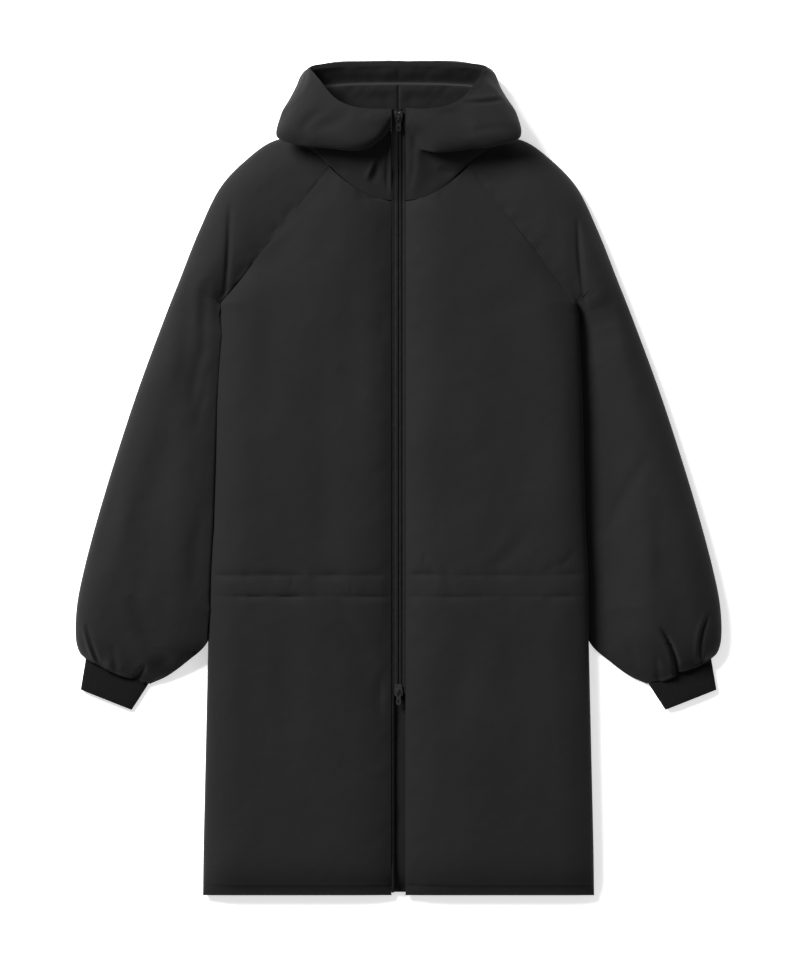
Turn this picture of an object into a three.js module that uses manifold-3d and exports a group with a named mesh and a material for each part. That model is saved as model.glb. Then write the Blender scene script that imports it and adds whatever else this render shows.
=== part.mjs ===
// A long hooded parka laid flat on its back with its front up, as the sewn pieces of the real coat.
// Units are millimetres. +Z is up, +Y points to the hood and the coat rests on z = 0.
// The wearer's left side is at +X.

import * as THREE from 'three';
import Module from 'manifold-3d';
import { mergeVertices } from 'three/addons/utils/BufferGeometryUtils.js';

// Gap between two pieces that are sewn together
const SEAM_GAP = 0.3;

// Outline of the body panels
const FRONT_HEM_Y = -534;
const BACK_HEM_Y = -530;
const UNDERARM = { x: 228, y: 226 };
const FRONT_RAGLAN_TOP = { x: 88, y: 399 };
const BACK_RAGLAN_TOP = { x: 76, y: 447 };
const NECK_FRONT_Y = 357;
const NECK_CURVE_POWER = 1.9;
const ZIP_OPENING_HALF = 9;

// Padding of the body, measured up from the floor
const BACK_TOP = 16;
const FRONT_PADDING = 21;
const SIDE_SEAM_HEIGHT = 12;
const SIDE_EDGE_PADDING = 3.5;
const SIDE_UNDERCUT = 8.5;
const SIDE_ROLL = 46;
const UNDERCUT_WIDTH = 40;
const CENTRE_EDGE_PADDING = 8;
const CENTRE_ROLL = 30;
const NECK_EDGE_PADDING = 14;
const NECK_ROLL = 26;
const HEM_PADDING = 7;
const HEM_ROLL = 44;
const HEM_FLAT = 14;

// Drawn-in waist: a channel between two rows of stitching
const CASING_ROWS = [-123, -151];
const CASING_GROOVE_DEPTH = 4.6;
const CASING_GROOVE_WIDTH = 5.5;
const PUCKER_PITCH = 38;
const PUCKER_HEIGHT = 1.3;
const PUCKER_REACH = 17;
const RELIEF_FADE = 20;
const CENTRE_RELIEF_FADE = 14;
const LEAST_RELIEF = 0.25;

// Sleeve padding
const SLEEVE_OUTER_ROLL = 42;
const SLEEVE_UNDER_ROLL = 22;
const SLEEVE_EDGE_WALL = 9;
const SLEEVE_SLIT = 0.8;
const LEAST_TOP_WALL = 2.2;
const SLEEVE_CREASE_HEIGHT = 7.6;
const RAGLAN_SLIT_HEIGHT = 16.8;
const SLIT_LEVEL = 0.45;
const FLAT_SLIT_SHARE = 0.5;
const FLAT_SLIT_FADE = 0.42;
const GATHER_WAVES = 7;

// Ribbed cuff
const CUFF_THICKNESS = 10;
const CUFF_WALL = 4;
const CUFF_SIDE_WALL = 4.5;
const CUFF_RIBS = 18;
const CUFF_RIB_HEIGHT = 0.9;
const CUFF_TOP_INNER = { x: 320.5, y: -263 };
const CUFF_TOP_OUTER = { x: 402, y: -230.6 };
const CUFF_END_INNER = { x: 342.5, y: -296 };
const CUFF_END_OUTER = { x: 408, y: -270 };

// Hood
const HOOD_WALL = 4;
const HOOD_NOSE_DEPTH = 15;
const HOOD_NOSE_OVERHANG = 7;
const HOOD_PAD_NECK = 14;
const HOOD_PAD_RIDGE = 38;
const HOOD_PAD_DIP = 27;
const HOOD_LIP = 6;

// Zip
const TAPE_THICKNESS = 1.6;
const TAPE_CENTRE_GAP = 0.15;
const TAPE_EDGE_X = ZIP_OPENING_HALF - SEAM_GAP;
const LOWER_SLIDER_Y = -275;
const VENT_STRIP_INNER_X = 5.6;
const SLIDER_LENGTH = 16;
const SLIDER_WIDE = 11.5;
const SLIDER_NARROW = 8.6;
const SLIDER_THICKNESS = 2.6;
const BRIDGE_WIDTH = 2;
const PULL_AXIS_Y = -1.9;
const PULL_AXIS_Z = 4.1;
const PULL_LENGTH = 16.5;
const PULL_WIDTH = 6.2;
const PULL_THICKNESS = 1.1;

// Half width of the body at each level, from the hem to the underarm
const SIDE_SEAM = [
  { y: -534, halfWidth: 251 },
  { y: -470, halfWidth: 250 },
  { y: -206, halfWidth: 244 },
  { y: -123, halfWidth: 243 },
  { y: -52, halfWidth: 239.5 },
  { y: 101, halfWidth: 236 },
  { y: 208, halfWidth: 231 },
  { y: UNDERARM.y, halfWidth: UNDERARM.x },
];

// Levels of the body's sections below the underarm
const BACK_LEVELS = [-520, -500, -470, -400, -206, -123, -52, 101, 190, 208, UNDERARM.y];
const FRONT_LEVELS = [
  -520, -500, -470, -400, -330, -265, -206, -170, -157, -151, -144, -137, -130, -123, -116, -90,
  -52, 0, 50, 101, 150, 190, 208, UNDERARM.y,
];
const RAGLAN_SHARES = [0.16, 0.34, 0.52, 0.7, 0.86, 1];
const PANEL_COLUMNS = 12;

// Largest soft folds of the fronts: a line on the cloth, its width and its depth
const FRONT_FOLDS = [
  { side: -1, x1: 60, y1: 290, x2: 44, y2: -60, width: 20, depth: 2.6 },
  { side: -1, x1: 112, y1: 200, x2: 96, y2: -95, width: 26, depth: 2 },
  { side: -1, x1: 96, y1: -190, x2: 20, y2: -285, width: 15, depth: 3 },
  { side: -1, x1: 150, y1: -180, x2: 120, y2: -330, width: 24, depth: 2 },
  { side: 1, x1: 172, y1: -60, x2: 116, y2: -118, width: 12, depth: 2.6 },
  { side: 1, x1: 70, y1: 120, x2: 62, y2: -90, width: 26, depth: 1.8 },
  { side: 1, x1: 90, y1: -175, x2: 60, y2: -330, width: 24, depth: 2 },
  { side: 1, x1: 180, y1: 250, x2: 96, y2: 210, width: 24, depth: 1.8 },
];

// Sections of a sleeve from the neck to the cuff. share places the inner end on the raglan seams,
// and below the underarm the inner end has its own place. lip is how far it lies under the body,
// and reach is how far the top rises from there.
const SLEEVE_SECTIONS = [
  { share: 0, outerX: 112, outerY: 440, height: 30, innerHeight: 30, lip: 0, reach: 42, gather: 0 },
  { share: 0.15, outerX: 160, outerY: 434, height: 33, innerHeight: 30, lip: 0, reach: 42, gather: 0 },
  { share: 0.32, outerX: 196, outerY: 409, height: 35, innerHeight: 29, lip: 0, reach: 42, gather: 0 },
  { share: 0.52, outerX: 228, outerY: 375, height: 37, innerHeight: 27, lip: 0, reach: 42, gather: 0 },
  { share: 0.76, outerX: 256, outerY: 318, height: 38, innerHeight: 22.5, lip: 0, reach: 42, gather: 0 },
  { share: 1, outerX: 281, outerY: 255, height: 38, innerHeight: 18.6, lip: 0, reach: 42, gather: 0 },
  {
    innerX: 231.8, innerY: 211, outerX: 291, outerY: 230,
    height: 38, innerHeight: 5, lip: 10, reach: 30, gather: 0,
  },
  {
    innerX: 218, innerY: 184, outerX: 303, outerY: 199,
    height: 38, innerHeight: 3.2, lip: 14, reach: 40, gather: 0,
  },
  {
    innerX: 222, innerY: 100, outerX: 334, outerY: 115,
    height: 38, innerHeight: 3.2, lip: 14, reach: 48, gather: 0,
  },
  {
    innerX: 224, innerY: 20, outerX: 361, outerY: 33,
    height: 39, innerHeight: 3.2, lip: 14, reach: 52, gather: 0,
  },
  {
    innerX: 226, innerY: -60, outerX: 385.5, outerY: -48,
    height: 40, innerHeight: 3.2, lip: 14, reach: 52, gather: 0,
  },
  {
    innerX: 229, innerY: -122, outerX: 403, outerY: -114,
    height: 40, innerHeight: 3.2, lip: 14, reach: 52, gather: 0,
  },
  {
    innerX: 230.5, innerY: -168, outerX: 412, outerY: -158,
    height: 40, innerHeight: 3.2, lip: 14, reach: 52, gather: 0,
  },
  {
    innerX: 247, innerY: -212, outerX: 414.5, outerY: -193,
    height: 37, innerHeight: 5, lip: 0, reach: 52, gather: 0.05,
  },
  {
    innerX: 271, innerY: -234, outerX: 413, outerY: -212,
    height: 32, innerHeight: 7, lip: 0, reach: 52, gather: 0.1,
  },
  {
    innerX: 297, innerY: -253, outerX: 408.5, outerY: -224,
    height: 24, innerHeight: 6, lip: 0, reach: 52, gather: 0.14,
  },
  {
    innerX: 319, innerY: -263, outerX: 402.5, outerY: -230,
    height: 15, innerHeight: 5, lip: 0, reach: 52, gather: 0.12,
  },
];
const SLEEVE_TOP_COLUMNS = 15;
const SLEEVE_BOTTOM_COLUMNS = 6;
const LIP_COLUMNS = 2;
const PLAIN_EDGE = 10;
const NOSE_SHARE = 0.32;

// Largest folds of a sleeve, on each side at its own place
const SLEEVE_FOLDS = [
  { side: -1, x1: 214, y1: 352, x2: 234, y2: 232, width: 10, depth: 7 },
  { side: 1, x1: 226, y1: 330, x2: 236, y2: 222, width: 10, depth: 8 },
  { side: -1, x1: 262, y1: 270, x2: 268, y2: 90, width: 15, depth: 3.4 },
  { side: 1, x1: 258, y1: 150, x2: 312, y2: -120, width: 17, depth: 5 },
  { side: 1, x1: 290, y1: 160, x2: 352, y2: -80, width: 15, depth: 3 },
  { side: -1, x1: 292, y1: 60, x2: 330, y2: -150, width: 20, depth: 3 },
  { side: -1, x1: 400, y1: -186, x2: 384, y2: -228, width: 8, depth: 5 },
  { side: -1, x1: 332, y1: -190, x2: 306, y2: -240, width: 9, depth: 4.4 },
  { side: 1, x1: 336, y1: -194, x2: 354, y2: -238, width: 9, depth: 6 },
  { side: 1, x1: 392, y1: -176, x2: 388, y2: -232, width: 8, depth: 5 },
];

// Sections of half the hood from the zip round to its centre back seam: where the wall leaves the
// neck seam, the outermost point of its fold, the free rim, how far the fold hangs over, and how
// much of the folded crown lies inside.
const HOOD_SECTIONS = [
  {
    neckX: 9, neckY: 357.4, neckZ: 24, foldX: 9, foldY: 424, foldZ: 50,
    rimX: 9, rimY: 471.5, rimZ: 73, over: 0, pad: 0,
  },
  {
    neckX: 22, neckY: 358.6, neckZ: 28, foldX: 24, foldY: 425, foldZ: 54,
    rimX: 22, rimY: 471.5, rimZ: 75, over: 0.25, pad: 0,
  },
  {
    neckX: 42, neckY: 365.4, neckZ: 31, foldX: 50, foldY: 421, foldZ: 60,
    rimX: 42, rimY: 472, rimZ: 76, over: 0.8, pad: 0,
  },
  {
    neckX: 66, neckY: 380.6, neckZ: 32, foldX: 90, foldY: 421, foldZ: 64,
    rimX: 63, rimY: 476, rimZ: 75, over: 1, pad: 0,
  },
  {
    neckX: 86, neckY: 400.6, neckZ: 32, foldX: 126, foldY: 425, foldZ: 63,
    rimX: 79, rimY: 484, rimZ: 73, over: 1, pad: 0,
  },
  {
    neckX: 97.5, neckY: 420, neckZ: 31, foldX: 155, foldY: 436, foldZ: 60,
    rimX: 90, rimY: 495, rimZ: 70, over: 1, pad: 0,
  },
  {
    neckX: 106, neckY: 440, neckZ: 27, foldX: 150.5, foldY: 466, foldZ: 50,
    rimX: 99, rimY: 507, rimZ: 66, over: 0.9, pad: 0.1,
  },
  {
    neckX: 96, neckY: 447, neckZ: 17, foldX: 133, foldY: 497, foldZ: 40,
    rimX: 107, rimY: 517, rimZ: 60, over: 0.9, pad: 0.45,
  },
  {
    neckX: 76, neckY: 448, neckZ: 0, foldX: 120, foldY: 524, foldZ: 25,
    rimX: 113, rimY: 526, rimZ: 52, over: 1, pad: 1,
  },
  {
    neckX: 50, neckY: 448, neckZ: 0, foldX: 84, foldY: 534, foldZ: 20,
    rimX: 79, rimY: 532, rimZ: 47, over: 1, pad: 1,
  },
  {
    neckX: 24, neckY: 448, neckZ: 0, foldX: 40, foldY: 535.5, foldZ: 20,
    rimX: 38, rimY: 533.5, rimZ: 45, over: 1, pad: 1,
  },
  {
    neckX: 0.15, neckY: 448, neckZ: 0, foldX: 0.15, foldY: 536, foldZ: 20,
    rimX: 0.15, rimY: 534, rimZ: 45, over: 1, pad: 1,
  },
];
const HOOD_COLUMNS = 20;
const HOOD_RINGS = 13;

// Height of the zip's top face along the coat and up the collar
const ZIP_LINE = [
  { y: -534, z: 19 },
  { y: -300, z: 19.5 },
  { y: 320, z: 20 },
  { y: 357, z: 22 },
  { y: 390, z: 30.5 },
  { y: 424, z: 46 },
  { y: 450, z: 60 },
  { y: 471, z: 69 },
];
const TAPE_LEVELS = [
  471, 462, 452, 440, 428, 414, 400, 386, 372, 357, 320, 200, 60, -70, -120, -137, -154, -200,
  LOWER_SLIDER_Y,
];
const VENT_LEVELS = [-283, -300, -400, -480, BACK_HEM_Y];

// Materials
const shellCloth = new THREE.MeshStandardMaterial({ color: 0x17171a, roughness: 0.82, metalness: 0 });
const cuffKnit = new THREE.MeshStandardMaterial({ color: 0x101012, roughness: 0.95, metalness: 0 });
const zipTape = new THREE.MeshStandardMaterial({ color: 0x1b1b1d, roughness: 0.75, metalness: 0 });
const zipMetal = new THREE.MeshStandardMaterial({ color: 0x6d6e70, roughness: 0.4, metalness: 0.9 });

const clamp01 = (value) => Math.min(1, Math.max(0, value));
const mix = (a, b, share) => a + (b - a) * share;
const smooth = (share) => clamp01(share) ** 2 * (3 - 2 * clamp01(share));
const bell = (distance, width) => Math.exp(-((distance / width) ** 2));

// Soft rise from 0 at a crease to 1 at the given reach
function rampUp(distance, reach) {
  return 1 - (1 - clamp01(distance / reach)) ** 2;
}

// Quarter-round rise from 0 at an edge to 1 at the given reach
function roll(distance, reach) {
  const share = clamp01(distance / reach);
  return Math.sqrt(1 - (1 - share) ** 2);
}

// Value of a table column at a place between its rows, in straight steps
function readTable(table, key, column, at) {
  for (let row = 1; row < table.length; row += 1) {
    const before = table[row - 1];
    const after = table[row];
    if (at <= after[key] || row === table.length - 1) {
      const share = clamp01((at - before[key]) / (after[key] - before[key]));
      return mix(before[column], after[column], share);
    }
  }
  return table[0][column];
}

// Depth that the folds of one side press into the cloth at a point
function foldDepth(folds, side, x, y) {
  let depth = 0;
  for (const fold of folds) {
    if (fold.side === side) {
      const lengthX = fold.x2 - fold.x1;
      const lengthY = fold.y2 - fold.y1;
      const along = ((x - fold.x1) * lengthX + (y - fold.y1) * lengthY) / (lengthX ** 2 + lengthY ** 2);
      const share = clamp01(along);
      const distance = Math.hypot(x - fold.x1 - lengthX * share, y - fold.y1 - lengthY * share);
      depth += fold.depth * bell(distance, fold.width) * (0.55 + 0.45 * Math.sin(Math.PI * share));
    }
  }
  return depth;
}

// Closed body between an outer and an inner grid of points. A wrapped grid closes on itself.
function wallGeometry(outer, inner, wrapped = false) {
  const rows = outer.length;
  const columns = outer[0].length;
  const points = [...outer.flat(), ...inner.flat()];
  const index = [];
  const at = (layer, row, column) => (layer * rows + row) * columns + (column % columns);
  const quad = (a, b, c, d) => {
    const ridgeAC = points[a].z + points[c].z >= points[b].z + points[d].z;
    index.push(...(ridgeAC ? [a, b, c, a, c, d] : [a, b, d, b, c, d]));
  };
  const spans = wrapped ? columns : columns - 1;
  for (let column = 0; column < spans; column += 1) {
    const next = column + 1;
    for (let row = 0; row < rows - 1; row += 1) {
      quad(at(0, row, column), at(0, row, next), at(0, row + 1, next), at(0, row + 1, column));
      quad(at(1, row, column), at(1, row + 1, column), at(1, row + 1, next), at(1, row, next));
    }
    const last = rows - 1;
    quad(at(0, 0, next), at(0, 0, column), at(1, 0, column), at(1, 0, next));
    quad(at(0, last, column), at(0, last, next), at(1, last, next), at(1, last, column));
  }
  if (!wrapped) {
    const last = columns - 1;
    for (let row = 0; row < rows - 1; row += 1) {
      quad(at(0, row, 0), at(0, row + 1, 0), at(1, row + 1, 0), at(1, row, 0));
      quad(at(0, row + 1, last), at(0, row, last), at(1, row, last), at(1, row + 1, last));
    }
  }
  return closedGeometry(points, index);
}

// Buffer geometry whose faces point out, whichever way its grids ran
function closedGeometry(points, index) {
  let volume = 0;
  for (let corner = 0; corner < index.length; corner += 3) {
    const [a, b, c] = [points[index[corner]], points[index[corner + 1]], points[index[corner + 2]]];
    volume += a.dot(new THREE.Vector3().crossVectors(b, c));
  }
  if (volume < 0) {
    for (let corner = 0; corner < index.length; corner += 3) {
      [index[corner + 1], index[corner + 2]] = [index[corner + 2], index[corner + 1]];
    }
  }
  const geometry = new THREE.BufferGeometry().setFromPoints(points);
  geometry.setIndex(index);
  geometry.computeVertexNormals();
  return geometry;
}

const parka = new THREE.Group();

function addPiece(name, geometry, material) {
  const piece = new THREE.Mesh(geometry, material);
  piece.name = name;
  parka.add(piece);
  return piece;
}

// Body: shared places and heights of the back and the two fronts

const columnShare = (column) => 0.5 - 0.5 * Math.cos((Math.PI * column) / PANEL_COLUMNS);
const halfWidthAt = (y) => readTable(SIDE_SEAM, 'y', 'halfWidth', y);
const belowUnderarm = (y) => smooth((UNDERARM.y - y) / (UNDERARM.y - 208));

// Height where the front lies on the back
function splitHeight(edgeDistance, y) {
  const sideDrop = (BACK_TOP - SIDE_SEAM_HEIGHT) * belowUnderarm(y) * (1 - roll(edgeDistance, SIDE_ROLL));
  const hemShare = roll(y - FRONT_HEM_Y - HEM_FLAT, HEM_ROLL);
  return mix(HEM_PADDING, BACK_TOP, hemShare) - sideDrop * hemShare;
}

function backUnderside(edgeDistance, y) {
  const share = clamp01(1 - edgeDistance / UNDERCUT_WIDTH) ** 1.5;
  const hemShare = smooth((y - FRONT_HEM_Y) / 130);
  return SIDE_UNDERCUT * share * belowUnderarm(y) * mix(0.45, 1, hemShare);
}

// Waist channel: grooves at the stitching and the puckers that run out of them
function casingRelief(side, x, y) {
  let relief = 0;
  let reach = 0;
  for (const rowY of CASING_ROWS) {
    relief -= CASING_GROOVE_DEPTH * bell(y - rowY, CASING_GROOVE_WIDTH);
    reach = Math.max(reach, bell(y - rowY, PUCKER_REACH));
  }
  const wave = Math.sin((2 * Math.PI * x) / PUCKER_PITCH + side) + 0.5 * Math.sin(x / 9.3 + 2 * side);
  return relief + PUCKER_HEIGHT * wave * reach;
}

function frontPadding(side, x, y, edges) {
  const raglanShare = clamp01((y - UNDERARM.y) / (FRONT_RAGLAN_TOP.y - UNDERARM.y));
  const sidePadding = mix(SIDE_EDGE_PADDING, NECK_EDGE_PADDING, smooth(raglanShare * 1.5));
  const hem = mix(HEM_PADDING, FRONT_PADDING, roll(edges.hem, HEM_ROLL));
  const sideShare = mix(sidePadding / FRONT_PADDING, 1, roll(edges.side, SIDE_ROLL));
  const centreShare = mix(CENTRE_EDGE_PADDING / FRONT_PADDING, 1, roll(edges.centre, CENTRE_ROLL));
  const neckShare = mix(NECK_EDGE_PADDING / FRONT_PADDING, 1, roll(edges.neck, NECK_ROLL));
  const shares = sideShare * centreShare * Math.max(neckShare, centreShare);
  const sideFade = edges.side / RELIEF_FADE;
  const inside = Math.min(1, sideFade, edges.centre / CENTRE_RELIEF_FADE, edges.hem / RELIEF_FADE);
  const relief = casingRelief(side, x, y) - foldDepth(FRONT_FOLDS, side, x, y);
  return Math.max(SIDE_EDGE_PADDING, hem * shares + relief * Math.max(LEAST_RELIEF, inside));
}

// Rows of plan points of one front, from the hem to the neck seam
function frontPlan() {
  const rows = [];
  for (const y of [FRONT_HEM_Y, ...FRONT_LEVELS]) {
    rows.push({ centreY: y, sideX: halfWidthAt(y), sideY: y });
  }
  for (const share of RAGLAN_SHARES) {
    rows.push({
      centreY: mix(UNDERARM.y, NECK_FRONT_Y, share),
      sideX: mix(UNDERARM.x, FRONT_RAGLAN_TOP.x, share),
      sideY: mix(UNDERARM.y, FRONT_RAGLAN_TOP.y, share),
    });
  }
  return rows;
}

function frontPanel(side) {
  const top = [];
  const bottom = [];
  const raglanRun = UNDERARM.x - FRONT_RAGLAN_TOP.x;
  const raglanRise = FRONT_RAGLAN_TOP.y - UNDERARM.y;
  const raglanLength = Math.hypot(raglanRun, raglanRise);
  for (const row of frontPlan()) {
    const topRow = [];
    const bottomRow = [];
    for (let column = 0; column <= PANEL_COLUMNS; column += 1) {
      const share = columnShare(column);
      const x = mix(ZIP_OPENING_HALF, row.sideX, share);
      const y = mix(row.centreY, row.sideY, share ** NECK_CURVE_POWER);
      const raglanDistance = ((UNDERARM.x - x) * raglanRise - (y - UNDERARM.y) * raglanRun) / raglanLength;
      const sideDistance = row.centreY <= UNDERARM.y ? row.sideX - x : Math.max(0, raglanDistance);
      const neckShare = clamp01((x - ZIP_OPENING_HALF) / (FRONT_RAGLAN_TOP.x - ZIP_OPENING_HALF));
      const neckY = mix(NECK_FRONT_Y, FRONT_RAGLAN_TOP.y, neckShare ** NECK_CURVE_POWER);
      const edges = {
        side: sideDistance,
        centre: x - ZIP_OPENING_HALF,
        neck: Math.max(0, neckY - y),
        hem: y - FRONT_HEM_Y,
      };
      const under = splitHeight(row.centreY <= UNDERARM.y ? sideDistance : SIDE_ROLL, y) + SEAM_GAP;
      bottomRow.push(new THREE.Vector3(side * x, y, under));
      topRow.push(new THREE.Vector3(side * x, y, under + frontPadding(side, x, y, edges)));
    }
    top.push(topRow);
    bottom.push(bottomRow);
  }
  return wallGeometry(top, bottom);
}

function backPanel() {
  const top = [];
  const bottom = [];
  const plan = [];
  for (const y of [BACK_HEM_Y, ...BACK_LEVELS]) {
    plan.push({ y, sideX: halfWidthAt(y) });
  }
  for (const share of RAGLAN_SHARES) {
    const y = mix(UNDERARM.y, BACK_RAGLAN_TOP.y, share);
    plan.push({ y, sideX: mix(UNDERARM.x, BACK_RAGLAN_TOP.x, share) - SEAM_GAP });
  }
  for (const { y, sideX } of plan) {
    const topRow = [];
    const bottomRow = [];
    for (let column = -PANEL_COLUMNS - 1; column <= PANEL_COLUMNS + 1; column += 1) {
      const share = columnShare(Math.abs(column) - 1);
      const x = column === 0 ? 0 : Math.sign(column) * mix(ZIP_OPENING_HALF, sideX, share);
      const edgeDistance = y <= UNDERARM.y ? sideX - Math.abs(x) : SIDE_ROLL;
      topRow.push(new THREE.Vector3(x, y, splitHeight(edgeDistance, y)));
      bottomRow.push(new THREE.Vector3(x, y, backUnderside(edgeDistance, y)));
    }
    top.push(topRow);
    bottom.push(bottomRow);
  }
  return wallGeometry(top, bottom);
}

addPiece('back', backPanel(), shellCloth);
addPiece('front_left', frontPanel(1), shellCloth);
addPiece('front_right', frontPanel(-1), shellCloth);

// Sleeves: a flattened padded tube, open along the raglan seams and down its underarm seam

function sleeveEnds(section) {
  const outer = new THREE.Vector2(section.outerX, section.outerY);
  if (section.share === undefined) {
    const inner = new THREE.Vector2(section.innerX, section.innerY);
    return { front: inner, back: inner, outer, onRaglan: false };
  }
  const seamOffset = new THREE.Vector2(UNDERARM.y - FRONT_RAGLAN_TOP.y, FRONT_RAGLAN_TOP.x - UNDERARM.x);
  seamOffset.setLength(-SEAM_GAP);
  const raglan = (top) =>
    new THREE.Vector2(mix(top.x, UNDERARM.x, section.share), mix(top.y, UNDERARM.y, section.share));
  const front = raglan(FRONT_RAGLAN_TOP).add(seamOffset);
  const back = raglan(BACK_RAGLAN_TOP);
  return { front, back, outer, onRaglan: true };
}

// Heights of the top and the underside at a share of the way from the inner end to the outer edge
function sleeveHeights(section, share, width) {
  const nose = section.height * NOSE_SHARE;
  const fromOuter = (1 - share) * width;
  const fromInner = share * width;
  const crease = section.lip > 0 ? SLEEVE_CREASE_HEIGHT : section.innerHeight;
  const risen = mix(crease, section.height, rampUp(fromInner - section.lip, section.reach));
  const rise = fromInner < section.lip ? mix(section.innerHeight, crease, fromInner / section.lip) : risen;
  const outerReach = Math.min(SLEEVE_OUTER_ROLL, width * 0.55);
  const fall = mix(nose, section.height, roll(fromOuter, outerReach)) / section.height;
  const gathers = 0.5 - 0.5 * Math.cos(2 * Math.PI * GATHER_WAVES * share);
  const top = rise * fall * (1 - section.gather * gathers * smooth(fromOuter / 12));
  const under = nose * (1 - roll(fromOuter, Math.min(SLEEVE_UNDER_ROLL, width * 0.3)));
  return { top, under };
}

function sleevePanel(side) {
  const outerGrid = [];
  const innerGrid = [];
  for (const section of SLEEVE_SECTIONS) {
    const { front, back, outer, onRaglan } = sleeveEnds(section);
    const outerRow = [];
    const innerRow = [];
    const place = (end, share, layer) => {
      const width = end.distanceTo(outer);
      const plan = end.clone().lerp(outer, share);
      const { top, under } = sleeveHeights(section, share, width);
      const slitHeight = (at) => {
        const ends = sleeveHeights({ ...section, gather: 0 }, at, width);
        const flat = onRaglan ? 1 - smooth((at - FLAT_SLIT_SHARE) / FLAT_SLIT_FADE) : 0;
        return mix(mix(ends.under, ends.top, SLIT_LEVEL), RAGLAN_SLIT_HEIGHT, flat);
      };
      const edgeFade = smooth(((1 - share) * width) / 16) * smooth((share * width) / 6 + (onRaglan ? 0.2 : 0));
      const fold = foldDepth(SLEEVE_FOLDS, side, plan.x, plan.y) * edgeFade;
      const leastTop = Math.min(top, slitHeight(share) + LEAST_TOP_WALL);
      const height = layer > 0 ? Math.max(top - fold, leastTop) : under;
      outerRow.push(new THREE.Vector3(side * plan.x, plan.y, height));
      const slitShare = share * (1 - SLEEVE_EDGE_WALL / width);
      const slitPlan = end.clone().lerp(outer, slitShare);
      const slit = slitHeight(slitShare);
      const halfSlit = (SLEEVE_SLIT / 2) * (1 - share ** 6) * Math.min(1, slit / 5);
      innerRow.push(new THREE.Vector3(side * slitPlan.x, slitPlan.y, slit + layer * halfSlit));
    };
    const lipShare = (section.lip || PLAIN_EDGE) / front.distanceTo(outer);
    for (let column = 0; column <= SLEEVE_TOP_COLUMNS; column += 1) {
      const even = clamp01((column - LIP_COLUMNS) / (SLEEVE_TOP_COLUMNS - LIP_COLUMNS));
      const beyond = mix(lipShare, 1, mix(even, Math.sin((even * Math.PI) / 2), 0.5));
      place(front, column < LIP_COLUMNS ? (lipShare * column) / LIP_COLUMNS : beyond, 1);
    }
    for (let column = SLEEVE_BOTTOM_COLUMNS - 1; column >= 0; column -= 1) {
      const even = column / SLEEVE_BOTTOM_COLUMNS;
      place(back, mix(even, Math.sin((even * Math.PI) / 2), 0.8), -1);
    }
    outerGrid.push(outerRow);
    innerGrid.push(innerRow);
  }
  return wallGeometry(outerGrid, innerGrid);
}

addPiece('sleeve_left', sleevePanel(1), shellCloth);
addPiece('sleeve_right', sleevePanel(-1), shellCloth);

// Cuffs: a flattened tube of rib knit, with its ribs raised over a plain inside

const CUFF_LEVELS = [0, 0.12, 0.5, 0.88, 1];

function cuffTube(side) {
  const outer = [];
  const inner = [];
  const topPoints = CUFF_RIBS * 2;
  const bottomPoints = 8;
  for (const level of CUFF_LEVELS) {
    const start = new THREE.Vector2(
      mix(CUFF_TOP_INNER.x, CUFF_END_INNER.x, level), mix(CUFF_TOP_INNER.y, CUFF_END_INNER.y, level));
    const end = new THREE.Vector2(
      mix(CUFF_TOP_OUTER.x, CUFF_END_OUTER.x, level), mix(CUFF_TOP_OUTER.y, CUFF_END_OUTER.y, level));
    const across = end.clone().sub(start).normalize();
    const along = new THREE.Vector2(across.y, -across.x).multiplyScalar(SEAM_GAP + 0.1);
    start.add(along);
    end.add(along);
    const outerRow = [];
    const innerRow = [];
    const place = (share, layer, rib) => {
      const roundness = (1 - Math.abs(2 * share - 1) ** 4) ** 0.5;
      const plan = start.clone().lerp(end, share);
      const half = CUFF_THICKNESS / 2;
      const height = half + layer * half * roundness - (layer > 0 ? rib * CUFF_RIB_HEIGHT * roundness : 0);
      outerRow.push(new THREE.Vector3(side * plan.x, plan.y, height));
      const inset = CUFF_SIDE_WALL / start.distanceTo(end);
      const hollow = start.clone().lerp(end, mix(inset, 1 - inset, share));
      const rise = layer * (half - CUFF_WALL) * roundness;
      innerRow.push(new THREE.Vector3(side * hollow.x, hollow.y, half + rise));
    };
    for (let point = 0; point <= topPoints; point += 1) {
      place(point / topPoints, 1, point % 2);
    }
    for (let point = bottomPoints - 1; point > 0; point -= 1) {
      place(point / bottomPoints, -1, 0);
    }
    outer.push(outerRow);
    inner.push(innerRow);
  }
  return wallGeometry(outer, inner, true);
}

addPiece('cuff_left', cuffTube(1), cuffKnit);
addPiece('cuff_right', cuffTube(-1), cuffKnit);

// Hood: each half runs from the zip round the neck to the centre back seam

function hoodCurve(section) {
  const neck = new THREE.Vector3(section.neckX, section.neckY, section.neckZ);
  const fold = new THREE.Vector3(section.foldX, section.foldY, section.foldZ);
  const rim = new THREE.Vector3(section.rimX, section.rimY, section.rimZ);
  const inward = new THREE.Vector3().subVectors(section.pad === 1 ? neck : rim, fold).setZ(0).normalize();
  const drop = Math.min(HOOD_NOSE_DEPTH, fold.z) * section.over;
  const tuck = fold.clone().addScaledVector(inward, HOOD_NOSE_OVERHANG * section.over);
  tuck.z -= mix(0, section.pad === 1 ? fold.z : drop, section.over);
  const lower = neck.clone().lerp(tuck, 0.5);
  const shoulder = fold.clone().lerp(rim, 0.16);
  shoulder.z = mix(fold.z, rim.z, 0.16) + 9 * section.over * (1 - 0.55 * section.pad);
  const crown = fold.clone().lerp(rim, 0.58);
  crown.z = mix(fold.z, rim.z, 0.58) + 7 * (1 - section.pad);
  return [neck, lower, tuck, fold, shoulder, crown, rim];
}

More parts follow.
